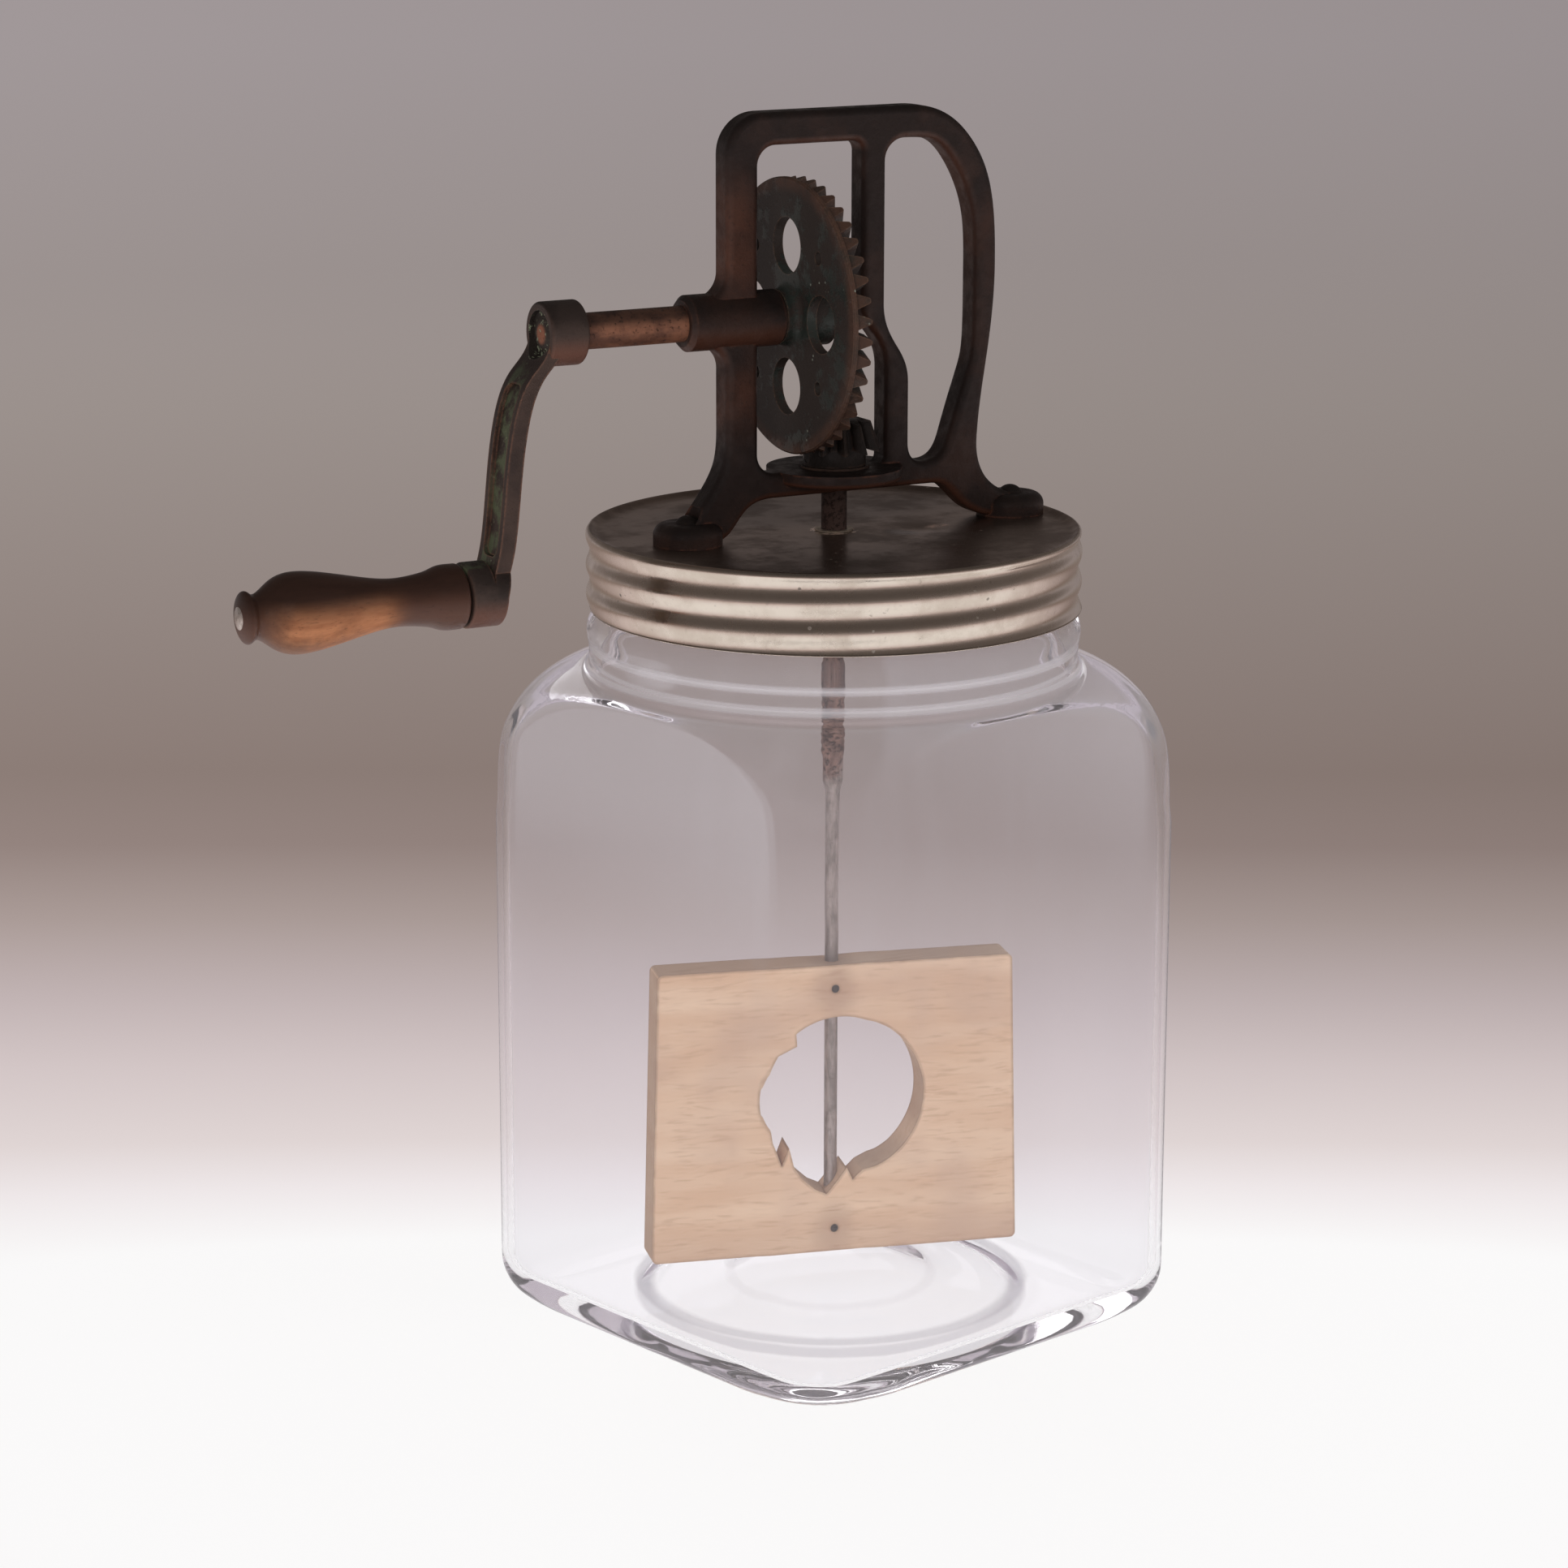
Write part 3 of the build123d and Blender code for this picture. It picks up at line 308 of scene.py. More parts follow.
def floor_look():
    """White round the jar, fading behind it; it glows only for the rays that see the background."""
    look = Look("floor")
    tree = look.tree
    turned = look.stretched((1, 1, 1), turn=-CAMERA_TURN)
    back = look.axis("Y", turned)
    side = look.axis("X", turned)
    behind = look.most(back, look.times(back, -SIDE_FALLOFF))
    across = look.times(side, SIDE_FALLOFF)
    squares = look.plus(look.math("POWER", behind, 2.0), look.math("POWER", across, 2.0))
    far = look.math("SQRT", squares)
    share = look.math("DIVIDE", far, look.plus(far, 1.0))
    ramp = colour_ramp(tree, FLOOR_COLOURS)
    look.put(ramp, "Fac", share)
    aside = look.math("DIVIDE", side, look.plus(look.absolute(back), SLOPE_DISTANCE))
    aside = look.most(look.math("MINIMUM", aside, SLOPE_LIMIT), -SLOPE_LIMIT)
    slope = look.times(aside, look.steps(share, *SLOPE_START), FLOOR_SLOPE)
    glow = look.node("ShaderNodeEmission", Color=ramp.outputs["Color"],
                     Strength=look.minus(FLOOR_GLOW, slope))
    dimmed = look.mix(FLOOR_ALBEDO, (0, 0, 0), ramp.outputs["Color"])
    lit = look.node("ShaderNodeBsdfDiffuse", Color=dimmed)
    seen = tree.nodes.new("ShaderNodeAddShader")
    look.put(seen, 0, glow.outputs[0])
    look.put(seen, 1, lit.outputs[0])
    plain = look.node("ShaderNodeBsdfDiffuse", Color=ramp.outputs["Color"])
    show(tree, choose(tree, seeing_rays(tree), plain, seen))
    return look.material


def make_floor():
    """A table top that reaches far behind the jar."""
    mesh = bpy.data.meshes.new("floor")
    square = ((-1, -1), (1, -1), (1, 1), (-1, 1))
    corners = [(x * FLOOR_REACH, y * FLOOR_REACH, 0) for x, y in square]
    mesh.from_pydata(corners, [], [(0, 1, 2, 3)])
    mesh.materials.append(floor_look())
    floor = bpy.data.objects.new("floor", mesh)
    floor.location.z = -FLOOR_DROP
    bpy.context.scene.collection.objects.link(floor)


def make_world():
    """Even light; what is seen of the room darkens overhead, as the lid's reflections show."""
    world = bpy.data.worlds.new("studio")
    bpy.context.scene.world = world
    world.use_nodes = True
    tree = world.node_tree
    split = tree.nodes.new("ShaderNodeSeparateXYZ")
    view = tree.nodes.new("ShaderNodeTexCoord")
    tree.links.new(view.outputs["Generated"], split.inputs[0])
    ramp = colour_ramp(tree, ROOM_COLOURS)
    tree.links.new(split.outputs["Z"], ramp.inputs["Fac"])
    room = next(n for n in tree.nodes if n.type == "BACKGROUND")
    tree.links.new(ramp.outputs["Color"], room.inputs["Color"])
    light = tree.nodes.new("ShaderNodeBackground")
    light.inputs["Color"].default_value = (1, 1, 1, 1)
    light.inputs["Strength"].default_value = WORLD_LIGHT
    even = tree.nodes.new("ShaderNodeBackground")
    even.inputs["Color"].default_value = colour(*ROOM_THROUGH_GLASS)
    path = tree.nodes.new("ShaderNodeLightPath")
    in_glass = tree.nodes.new("ShaderNodeMath")
    in_glass.operation = "MINIMUM"
    in_glass.inputs[1].default_value = 1.0
    tree.links.new(path.outputs["Transmission Depth"], in_glass.inputs[0])
    seen = choose(tree, in_glass.outputs[0], room, even)
    show(tree, choose(tree, seeing_rays(tree), light, seen), "OUTPUT_WORLD")


def make_lights():
    for name, (place, watts) in LAMPS.items():
        data = bpy.data.lights.new(name, "AREA")
        data.shape = "DISK"
        data.size = LAMP_SIZE
        data.energy = watts
        lamp = bpy.data.objects.new(name, data)
        lamp.location = place
        towards = Vector(LAMP_TARGET) - Vector(place)
        lamp.rotation_euler = towards.to_track_quat("-Z", "Y").to_euler()
        lamp.visible_glossy = False
        bpy.context.scene.collection.objects.link(lamp)


make_camera()
make_floor()
make_world()
make_lights()


# ---- mesh helpers ------------------------------------------------------------------------
def new_piece(name, points, faces, body, slot):
    """A smooth mesh object from points in millimetres, riding on a CAD body."""
    mesh = bpy.data.meshes.new(name)
    mesh.from_pydata([Vector(p) * MM for p in points], [], faces)
    mesh.validate()
    mesh.polygons.foreach_set("use_smooth", [True] * len(mesh.polygons))
    piece = bpy.data.objects.new(name, mesh)
    bpy.context.scene.collection.objects.link(piece)
    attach(piece, body)
    return piece


def skin(rings, closed=False):
    """Points and faces joining rings of equal length in order.

    A closed skin joins its last ring to its first; otherwise both ends close to a fan.
    """
    count = len(rings[0])
    last = len(rings) - 1
    points = [p for ring in rings for p in ring]
    faces = []
    for row in range(last + 1 if closed else last):
        low, high = row * count, (row + 1) % len(rings) * count
        for i in range(count):
            j = (i + 1) % count
            faces.append((low + i, low + j, high + j, high + i))
    if closed:
        return points, faces
    for row in (0, last):
        tip = len(points)
        points.append(sum((Vector(p) for p in rings[row]), Vector()) / count)
        for i in range(count):
            near, far = row * count + i, row * count + (i + 1) % count
            faces.append((tip, far, near) if row == 0 else (tip, near, far))
    return points, faces


def lerp(a, b, t):
    return a + (b - a) * t


def polar(angle, radius):
    """X and Y of a point at an angle in degrees."""
    turn = math.radians(angle)
    return radius * math.cos(turn), radius * math.sin(turn)


def curve_points(start, control, end, count):
    """Points along a quadratic curve, without its start."""
    points = []
    for i in range(1, count + 1):
        t = i / count
        near = [lerp(a, b, t) for a, b in zip(start, control)]
        far = [lerp(a, b, t) for a, b in zip(control, end)]
        points.append(tuple(lerp(a, b, t) for a, b in zip(near, far)))
    return points


def arc_points(centre, radius, start, end, count):
    """Points along an arc, angles in degrees, both ends included."""
    points = []
    for i in range(count + 1):
        x, y = polar(lerp(start, end, i / count), radius)
        points.append((centre[0] + x, centre[1] + y))
    return points


def smoothstep(low, high, value):
    t = min(max((value - low) / (high - low), 0.0), 1.0)
    return t * t * (3 - 2 * t)


# ---- glass jar ---------------------------------------------------------------------------
JAR_HALF = 72.6
JAR_CORNER = 21.0
JAR_LEAST_CORNER = 3.0
JAR_TURN = 13.5            # angle of the jar's faces to the frame
JAR_GLASS = 3.6
FACE_STEPS = 22
CORNER_STEPS = 14
# the heel's radius is larger at the corners, blending in between these angles from a face's middle
JAR_HEEL = 8.0
JAR_HEEL_CORNER = 12.0
HEEL_BLEND = (30, 43)
STAND_STEPS = 5
HEEL_STEPS = 9
WALL_HEIGHTS = (16, 24, 40, 60, 80, 100, 120, 134, 141)
INNER_WALL_HEIGHTS = (140, 120, 100, 80, 60, 40, 26, 20)
DOME_START = 146.0
DOME_TOP_ANGLE = 78
INNER_DOME_TOP_ANGLE = 84
LEAN_RADIUS = 85.0
LEAN_ANGLE = 11.0
LEAN_STEPS = 10
SHOULDER_RADIUS = 28.0
SHOULDER_STEPS = 34
ARCH_SOFTNESS = 2.6        # of the bend where the dome cuts off a face
FLOOR_TOP = 6.0
INNER_HEEL = 7.0
INNER_FLAT_STEPS = 4
# radius and height of the rings of the pushed-up base, from its middle outwards
BASE_RINGS = (
    (6, 8.4), (14, 8.2), (20, 7.7), (24, 6.9), (27, 5.8), (30, 5.0), (34, 4.5),
    (40, 4.0), (45, 3.4), (49, 2.4), (52, 1.2), (53.5, 0.4), (54.5, 0.0),
)
# the floor inside, from its edge inwards
FLOOR_RINGS = (
    (52, 6.0), (48, 6.5), (44, 7.6), (40, 8.7), (34, 9.5),
    (30, 10.2), (27, 11.2), (23, 12.2), (14, 12.7), (6, 12.8),
)
NECK_PROFILE = curve_points((70.74, 184.27), (67.7, 184.9), (67.4, 188.0), 6) + [
    (67.3, 190.0), (67.35, 191.5), (67.7, 193.2), (67.95, 195.0), (67.8, 196.8),
    (67.2, 198.2), (66.2, 199.4), (65.3, 200.6), (64.9, 202.0),
]
LIP_PROFILE = (
    (64.9, 218.2), (64.6, 219.2), (63.9, 219.8), (63.0, 220.0),
    (62.2, 219.7), (61.7, 219.0), (61.4, 218.0),
)
INNER_NECK = [(61.4, 214), (61.4, 206), (61.6, 202), (62.2, 198), (63.0, 194.5), (63.3, 191)]
INNER_NECK += curve_points((63.3, 191), (63.4, 181.9), (67.47, 181.15), 8)[:-1]
# the finish, which carries the glass thread
THREAD_PITCH = 8.1
FINISH_ROOT = 64.9
FINISH_TOP = 217.6
FINISH_ROW = 0.7
FINISH_THREAD_CREST = 209.0    # height of the ridge at the frame's zero angle
FINISH_THREAD_DEPTH = 1.2
FINISH_THREAD_SHARPNESS = 1.5
FINISH_THREAD_RISES = (203.0, 205.5)
FINISH_THREAD_DIES = (214.5, 217.0)
# unevenness of the moulded glass, in millimetres and waves per millimetre
GLASS_WAVE = 0.05
GLASS_WAVE_RATE = 0.03
GLASS_WAVE_SEED = 1        # without one, noise_vector differs from run to run


def jar_angles():
    """Polar angles round the jar, evenly spaced along its flats and round its corners."""
    flat = math.degrees(math.atan2(JAR_HALF - JAR_CORNER, JAR_HALF))
    angles = []
    for side in range(4):
        middle = 90 * side
        for i in range(FACE_STEPS):
            reach = lerp(-1, 1, i / FACE_STEPS) * (JAR_HALF - JAR_CORNER)
            angles.append(middle + math.degrees(math.atan2(reach, JAR_HALF)))
        for i in range(CORNER_STEPS):
            angles.append(lerp(middle + flat, middle + 90 - flat, i / CORNER_STEPS))
    return angles


def from_face(angle):
    """Angle from the middle of the nearest face."""
    return abs((angle + 45) % 90 - 45)


def square_radius(angle, inset):
    """Distance from the axis to the side of the rounded square, drawn in by inset."""
    half = JAR_HALF - inset
    corner = max(JAR_CORNER - inset, JAR_LEAST_CORNER)
    fold = math.radians(from_face(angle))
    along, across = math.cos(fold), math.sin(fold)
    if half * across / along <= half - corner:
        return half / along
    reach = (half - corner) * (along + across)
    return reach + math.sqrt(max(reach ** 2 - 2 * (half - corner) ** 2 + corner ** 2, 0.0))


def soft_min(a, b, soft):
    """The smaller of two values, with a rounded change from one to the other."""
    overlap = max(soft - abs(a - b), 0.0) / soft
    return min(a, b) - overlap * overlap * soft / 4


def heel_radius(angle):
    return lerp(JAR_HEEL, JAR_HEEL_CORNER, smoothstep(*HEEL_BLEND, from_face(angle)))


def jar_point(angle, radius, height):
    return (*polar(angle + JAR_TURN, radius), height)


def glass_thread(angle, height):
    """How far the glass thread stands out from the finish: one right-handed ridge."""
    phase = (height - FINISH_THREAD_CREST) / THREAD_PITCH - (angle + JAR_TURN) / 360
    ridge = max(math.cos(2 * math.pi * phase), 0.0) ** FINISH_THREAD_SHARPNESS
    ends = smoothstep(*FINISH_THREAD_RISES, height) * (1 - smoothstep(*FINISH_THREAD_DIES, height))
    return FINISH_THREAD_DEPTH * ridge * ends


def dome_profile(inset, top_angle):
    """Radius and height down the dome, from near its top to the start of its lean."""
    corner = (JAR_HALF - JAR_CORNER) * math.sqrt(2) + JAR_CORNER
    lean_centre = (corner - LEAN_RADIUS, DOME_START)
    x, y = polar(LEAN_ANGLE, LEAN_RADIUS - SHOULDER_RADIUS)
    shoulder = (lean_centre[0] + x, lean_centre[1] + y)
    upper = arc_points(shoulder, SHOULDER_RADIUS - inset, top_angle, LEAN_ANGLE, SHOULDER_STEPS)
    lower = arc_points(lean_centre, LEAN_RADIUS - inset, LEAN_ANGLE, 0, LEAN_STEPS)
    return upper + lower[1:]


def glass_jar():
    """The jar's skin, outside from the middle of its base to the lip, and inside back down."""
    angles = jar_angles()

    def ring(radius, height):
        """A ring whose radius is a number or a function of the angle."""
        at = radius if callable(radius) else lambda angle: radius
        return [jar_point(a, at(a), height) for a in angles]

    def wall(inset, height):
        return ring(lambda a: square_radius(a, inset), height)

    def dome(inset, profile):
        """Rings of the dome, round where it is narrower than the square body."""
        return [
            ring(lambda a: soft_min(square_radius(a, inset), radius, ARCH_SOFTNESS), height)
            for radius, height in profile
        ]

    rings = [ring(radius, height) for radius, height in BASE_RINGS]
    stand = BASE_RINGS[-1][0]
    for i in range(1, STAND_STEPS + 1):
        part = i / STAND_STEPS
        rings.append(ring(lambda a: lerp(stand, square_radius(a, heel_radius(a)), part), 0.0))
    for i in range(1, HEEL_STEPS + 1):
        turn = math.radians(90 * i / HEEL_STEPS)
        heel_ring = []
        for a in angles:
            heel = heel_radius(a)
            inset = heel * (1 - math.sin(turn))
            heel_ring.append(jar_point(a, square_radius(a, inset), heel * (1 - math.cos(turn))))
        rings.append(heel_ring)
    rings += [wall(0, height) for height in WALL_HEIGHTS]
    rings += dome(0, reversed(dome_profile(0, DOME_TOP_ANGLE)))
    rings += [ring(radius, height) for radius, height in NECK_PROFILE]
    height = NECK_PROFILE[-1][1]
    while height < FINISH_TOP:
        height += FINISH_ROW
        rings.append(ring(lambda a: FINISH_ROOT + glass_thread(a, height), height))
    rings += [ring(radius, height) for radius, height in LIP_PROFILE]

    rings += [ring(radius, height) for radius, height in INNER_NECK]
    rings += dome(JAR_GLASS, dome_profile(JAR_GLASS, INNER_DOME_TOP_ANGLE))
    rings += [wall(JAR_GLASS, height) for height in INNER_WALL_HEIGHTS]
    for i in range(HEEL_STEPS + 1):
        turn = math.radians(90 * i / HEEL_STEPS)
        inset = JAR_GLASS + INNER_HEEL * (1 - math.cos(turn))
        rings.append(wall(inset, FLOOR_TOP + INNER_HEEL * (1 - math.sin(turn))))
    inset = JAR_GLASS + INNER_HEEL
    inner = FLOOR_RINGS[0][0]
    for i in range(1, INNER_FLAT_STEPS):
        part = i / INNER_FLAT_STEPS
        rings.append(ring(lambda a: lerp(square_radius(a, inset), inner, part), FLOOR_TOP))
    rings += [ring(radius, height) for radius, height in FLOOR_RINGS]

    piece = new_piece("jar_glass", *skin(rings), "jar", "clear_glass")
    noise.seed_set(GLASS_WAVE_SEED)
    for vertex in piece.data.vertices:
        at = vertex.co / MM * GLASS_WAVE_RATE
        vertex.co += noise.noise_vector(at) * GLASS_WAVE * MM
    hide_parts("glass_jar")
    return piece


# ---- lid ---------------------------------------------------------------------------------
LID_RADIUS = 68.0
LID_BOTTOM = 201.2
LID_PANEL = 222.2
LID_SHEET = 0.5
LID_STEPS = 216
LID_THREAD_DEPTH = 1.05
LID_THREAD_DIES = (220.8, 223.0)
LID_CREST = 215.3          # height of a crest on the side that faces the camera
LID_CREST_ANGLE = 241.5
SPINDLE_HOLE = 4.3
PANEL_REACH = 57.0
PANEL_ROWS = 30
INNER_PANEL_ROWS = 10
SKIRT_ROWS = 60
INNER_SKIRT_ROWS = slice(8, -2, 2)     # the skirt's rows that its inner side repeats
DENT_PLACE = (21.0, -9.0)
DENT_REACH = 11.0
DENT_DEPTH = 0.55
RIPPLE_HEIGHT = 0.12
RIPPLE_RATE = 0.05
RIPPLE_FADE = (50, 60)
LID_RIM = (
    (61.5, 222.2), (63.4, 222.12), (64.6, 222.15), (65.5, 222.5), (66.2, 223.05),
    (66.9, 223.35), (67.4, 223.2), (67.75, 222.75),
)
RIM_SHEET = 0.3            # how far the rim's inner side is drawn in
ROLL_HEIGHT = 0.3          # where the rolled lower edge begins, over its lowest point
# the rings of the rolled edge: outward of the skirt, and up from where the roll begins
LID_ROLL = ((0.08, 0.0), (-0.1, -0.25), (-0.35, -0.3), (-0.6, -0.15))


def lid_skirt(angle, height):
    """Radius of the rolled skirt: one right-handed thread, dying out under the rim."""
    phase = (height - LID_CREST) / THREAD_PITCH - (angle - LID_CREST_ANGLE) / 360
    hollow = 0.5 - 0.5 * math.cos(2 * math.pi * phase)
    return LID_RADIUS - LID_THREAD_DEPTH * hollow * (1 - smoothstep(*LID_THREAD_DIES, height))


def lid_top(x, y):
    """Unevenness of the sheet between the feet: a soft dent and a faint ripple in the panel."""
    from_dent = math.hypot(x - DENT_PLACE[0], y - DENT_PLACE[1]) / DENT_REACH
    dent = -DENT_DEPTH * (1 - smoothstep(0.0, 1.0, from_dent))
    ripple = RIPPLE_HEIGHT * noise.noise(Vector((x, y, 0.0)) * RIPPLE_RATE)
    return dent + ripple * (1 - smoothstep(*RIPPLE_FADE, math.hypot(x, y)))


def screw_lid():
    """The sheet's outside from the spindle's hole to the rolled edge, and its inside back."""
    angles = [360 * i / LID_STEPS for i in range(LID_STEPS)]

    def top_ring(radius, height, sheet=0.0):
        places = [polar(a, radius) for a in angles]
        return [(x, y, height + lid_top(x, y) - sheet) for x, y in places]

    def panel_ring(row, rows, sheet=0.0):
        return top_ring(SPINDLE_HOLE + row * PANEL_REACH / rows, LID_PANEL, sheet)

    def skirt_ring(height, outward=0.0):
        return [(*polar(a, lid_skirt(a, height) + outward), height) for a in angles]

    roll_start = LID_BOTTOM + ROLL_HEIGHT
    heights = [lerp(LID_PANEL, roll_start, i / SKIRT_ROWS) for i in range(SKIRT_ROWS + 1)]
    rings = [panel_ring(row, PANEL_ROWS) for row in range(PANEL_ROWS)]
    rings += [top_ring(radius, height) for radius, height in LID_RIM]
    rings += [skirt_ring(height) for height in heights]
    for outward, up in LID_ROLL:
        edge = [polar(a, lid_skirt(a, LID_BOTTOM) + outward) for a in angles]
        rings.append([(x, y, roll_start + up) for x, y in edge])
    rings += [skirt_ring(height, -LID_SHEET) for height in reversed(heights[INNER_SKIRT_ROWS])]
    rings += [top_ring(radius - RIM_SHEET, height - LID_SHEET)
              for radius, height in reversed(LID_RIM)]
    rings += [panel_ring(row, INNER_PANEL_ROWS, LID_SHEET)
              for row in reversed(range(INNER_PANEL_ROWS))]
    piece = new_piece("lid_sheet", *skin(rings, closed=True), "lid", "tinned_sheet")
    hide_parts("screw_lid")
    return piece


# ---- crust on the spindle ----------------------------------------------------------------
CRUST_TOP = 187.0
CRUST_BOTTOM = 158.5
CRUST_ROWS = 60
CRUST_SIDES = 20
CRUST_THICKNESS = 0.45
CRUST_STARTS = (0.0, 0.25)     # share of the way down where it grows, and where it thins out
CRUST_ENDS = (0.9, 1.0)
# how far the lumps stand out, waves round the spindle and waves per millimetre down it
CRUST_LUMPS = ((0.45, 2.0, 0.45), (0.2, 5.0, 1.3))
SPINDLE_SKIN = 2.7             # radius of the sleeve's ends, inside the spindle


def spindle_crust():
    """A sleeve of flaking rust above the place where the rod was drawn down."""
    rings = []
    for row in range(CRUST_ROWS + 1):
        down = row / CRUST_ROWS
        height = lerp(CRUST_TOP, CRUST_BOTTOM, down)
        build = smoothstep(*CRUST_STARTS, down) * (1 - smoothstep(*CRUST_ENDS, down))
        ring = []
        for i in range(CRUST_SIDES):
            turn = 2 * math.pi * i / CRUST_SIDES
            out = Vector((math.cos(turn), math.sin(turn), 0))
            thickness = CRUST_THICKNESS
            for amount, around, along in CRUST_LUMPS:
                thickness += amount * noise.noise(out * around + Vector((0, 0, height * along)))
            ring.append(out * (SPINDLE_SKIN + build * thickness) + Vector((0, 0, height)))
        rings.append(ring)
    return new_piece("spindle_crust", *skin(rings), "stirrer", "rusty_steel")


# ---- metals ------------------------------------------------------------------------------
SHAFT_AXIS = (0, 0, 0.282)
ROUND_X = (0, 1, 1)            # stretches for away: distance from an axis along X, and along Z
ROUND_Z = (1, 1, 0)
GEAR_BARE = (0.0325, 0.0362)   # radius where the paint thins out, and where it is gone
SHAFT_OUTER_END = -0.0872
SHAFT_END_MIDDLE = (0.0032, 0.0018)
CHANNEL_SIDE = (0.0046, 0.0036)
CHANNEL_START = (-0.0905, -0.0925)
HUB_RECESS = (0.0067, 0.0064)
HUB_FLOOR = (-0.0868, -0.0871)
ROD_START = (0.160, 0.148)
SPINDLE_OILED = (0.216, 0.224)
# brown patches on the frame: centre, stretch and reach
BROWN_PATCHES = (
    ((-0.0340, 0.0, 0.3020), (1.2, 1.0, 0.6), 0.017),
    ((0.0460, 0.0, 0.3000), (1.0, 1.0, 0.30), 0.007),
    ((-0.0300, 0.0, 0.2600), (1.0, 1.0, 0.8), 0.012),
)


def cast_iron(name, dark, brown, wear_and_underlight, brown_patches=()):
    """Old cast iron: a dark skin, browner in patches and at given places, rubbed to brown metal
    along edges, with painted shade on the sides that face up and painted light on the sides that
    face down.
    """
    look = Look(name)
    pitted = (18, 14, 13)
    patches = look.steps(look.noise(42, 6, 0.62), 0.42, 0.62)
    grain = look.noise(1100, 4, 0.65)
    lumps = look.noise(260, 4, 0.55)
    broken = look.steps(look.noise(230, 5, 0.7), 0.40, 0.60)
    base = look.mix(patches, dark, brown)
    # Smooth brown patches at the given places.
    for centre, stretch, reach in brown_patches:
        browned = look.steps(look.away(centre, stretch), reach, 0.0)
        soft = look.steps(look.noise(90, 5, 0.6), 0.25, 0.70, 0.25, 0.85)
        base = look.mix(look.times(browned, soft), base, wear_and_underlight)
    rubbed = look.times(look.edges(0.0012), broken, 0.75)
    base = look.mix(rubbed, base, wear_and_underlight)
    base = look.mix(look.steps(grain, 0.56, 0.74, 0.0, 0.6), base, pitted)
    # Painted shade on the sides that face up, and painted light in the pale brown colour on the
    # sides that face down.
    base = look.painted_underlight(look.painted_top_shade(base, 0.6), 0.5, wear_and_underlight)
    rough = look.steps(lumps, 0.35, 0.65, 0.40, 0.62)
    height = look.plus(look.times(lumps, 0.6), look.times(grain, 0.4))
    look.set(Base_Color=base, Roughness=rough, Specular_IOR_Level=0.35,
             Normal=look.bump(height, 0.5, 0.0005))
    return look.material


def gear_iron():
    """Dark green paint, mostly flaked off, with a brown rim where the teeth are bare."""
    look = Look("gear_iron")
    paint, iron, bare_iron = (40, 44, 40), (46, 38, 34), (72, 50, 40)
    chipped, rubbed_iron = (142, 146, 134), (112, 84, 66)
    flaked = look.steps(look.noise(95, 7, 0.68), 0.43, 0.53)
    grain = look.noise(1200, 4, 0.65)
    base = look.mix(flaked, paint, iron)
    rim = look.steps(look.away(SHAFT_AXIS, ROUND_X), *GEAR_BARE)
    bare = look.times(rim, look.steps(look.noise(210, 4), 0.30, 0.62, 0.35, 1.0))
    base = look.mix(bare, base, bare_iron)
    clusters = look.steps(look.noise(60, 3), 0.56, 0.64)
    chips = look.times(look.steps(look.cells(360), 0.16, 0.08), clusters)
    base = look.mix(look.times(chips, 0.7), base, chipped)
    rubbed = look.times(look.edges(0.0006), look.steps(grain, 0.35, 0.6), 0.6)
    base = look.mix(rubbed, base, rubbed_iron)
    height = look.minus(look.times(grain, 0.4), look.times(flaked, 0.5))
    look.set(Base_Color=base, Roughness=look.steps(flaked, 0, 1, 0.38, 0.6),
             Specular_IOR_Level=0.35, Normal=look.bump(height, 0.6, 0.0004))
    return look.material


def rusty_steel(name, light, deep, streak=(60, 260, 260), end=None):
    """Brown rust, drawn along the piece, with painted shade on the sides that face up; end is where
    its hammered end begins.
    """
    look = Look(name)
    pitted = (46, 32, 26)
    cloud = look.noise(1.0, 6, 0.62, place=look.stretched(streak))
    cloud = look.steps(cloud, 0.36, 0.64)
    pits = look.steps(look.noise(850, 4, 0.7), 0.56, 0.70)
    base = look.mix(cloud, deep, light)
    base = look.mix(look.times(pits, 0.75), base, pitted)
    # Painted shade on the sides that face up.
    base = look.painted_top_shade(base, 0.75)
    if end is not None:
        dark, copper, flecked = (52, 44, 38), (140, 88, 66), (150, 156, 130)
        hammered = look.steps(look.axis("X"), end + 0.0006, end)
        middle = look.steps(look.away(SHAFT_AXIS, ROUND_X), *SHAFT_END_MIDDLE)
        flecks = look.steps(look.noise(620, 4, 0.7), 0.56, 0.62)
        face = look.mix(flecks, look.mix(middle, dark, copper), flecked)
        base = look.mix(hammered, base, face)
    height = look.minus(look.times(cloud, 0.3), pits)
    look.set(Base_Color=base, Roughness=0.55, Metallic=0.15, Specular_IOR_Level=0.4,
             Normal=look.bump(height, 0.6, 0.0003))
    return look.material


def spindle_steel():
    """Crusty brown rust above, a grey rod below, and a dark end by the pinion."""
    look = Look("spindle_steel")
    deep_rust, light_rust, crusty = (104, 76, 68), (142, 108, 96), (78, 54, 47)
    dark_rod, light_rod, oiled = (132, 120, 114), (168, 154, 148), (56, 40, 35)
    height = look.axis("Z")
    cloud = look.noise(1.0, 6, 0.65, place=look.stretched((420, 420, 130)))
    cloud = look.steps(cloud, 0.38, 0.62)
    crust = look.steps(look.noise(620, 5, 0.7), 0.50, 0.66)
    dent_lit = look.mix(crust, look.mix(cloud, deep_rust, light_rust), crusty)
    rod = look.mix(cloud, dark_rod, light_rod)
    ragged = look.plus(height, look.times(look.minus(look.noise(140, 4), 0.5), 0.03))
    lower = look.steps(ragged, *ROD_START)
    base = look.mix(lower, dent_lit, rod)
    base = look.mix(look.steps(height, *SPINDLE_OILED), base, oiled)
    bumps = look.times(crust, look.steps(lower, 0.0, 1.0, 1.0, 0.2))
    look.set(Base_Color=base, Roughness=look.steps(lower, 0, 1, 0.7, 0.42),
             Metallic=look.times(lower, 0.6), Normal=look.bump(bumps, 0.9, 0.0006))
    return look.material


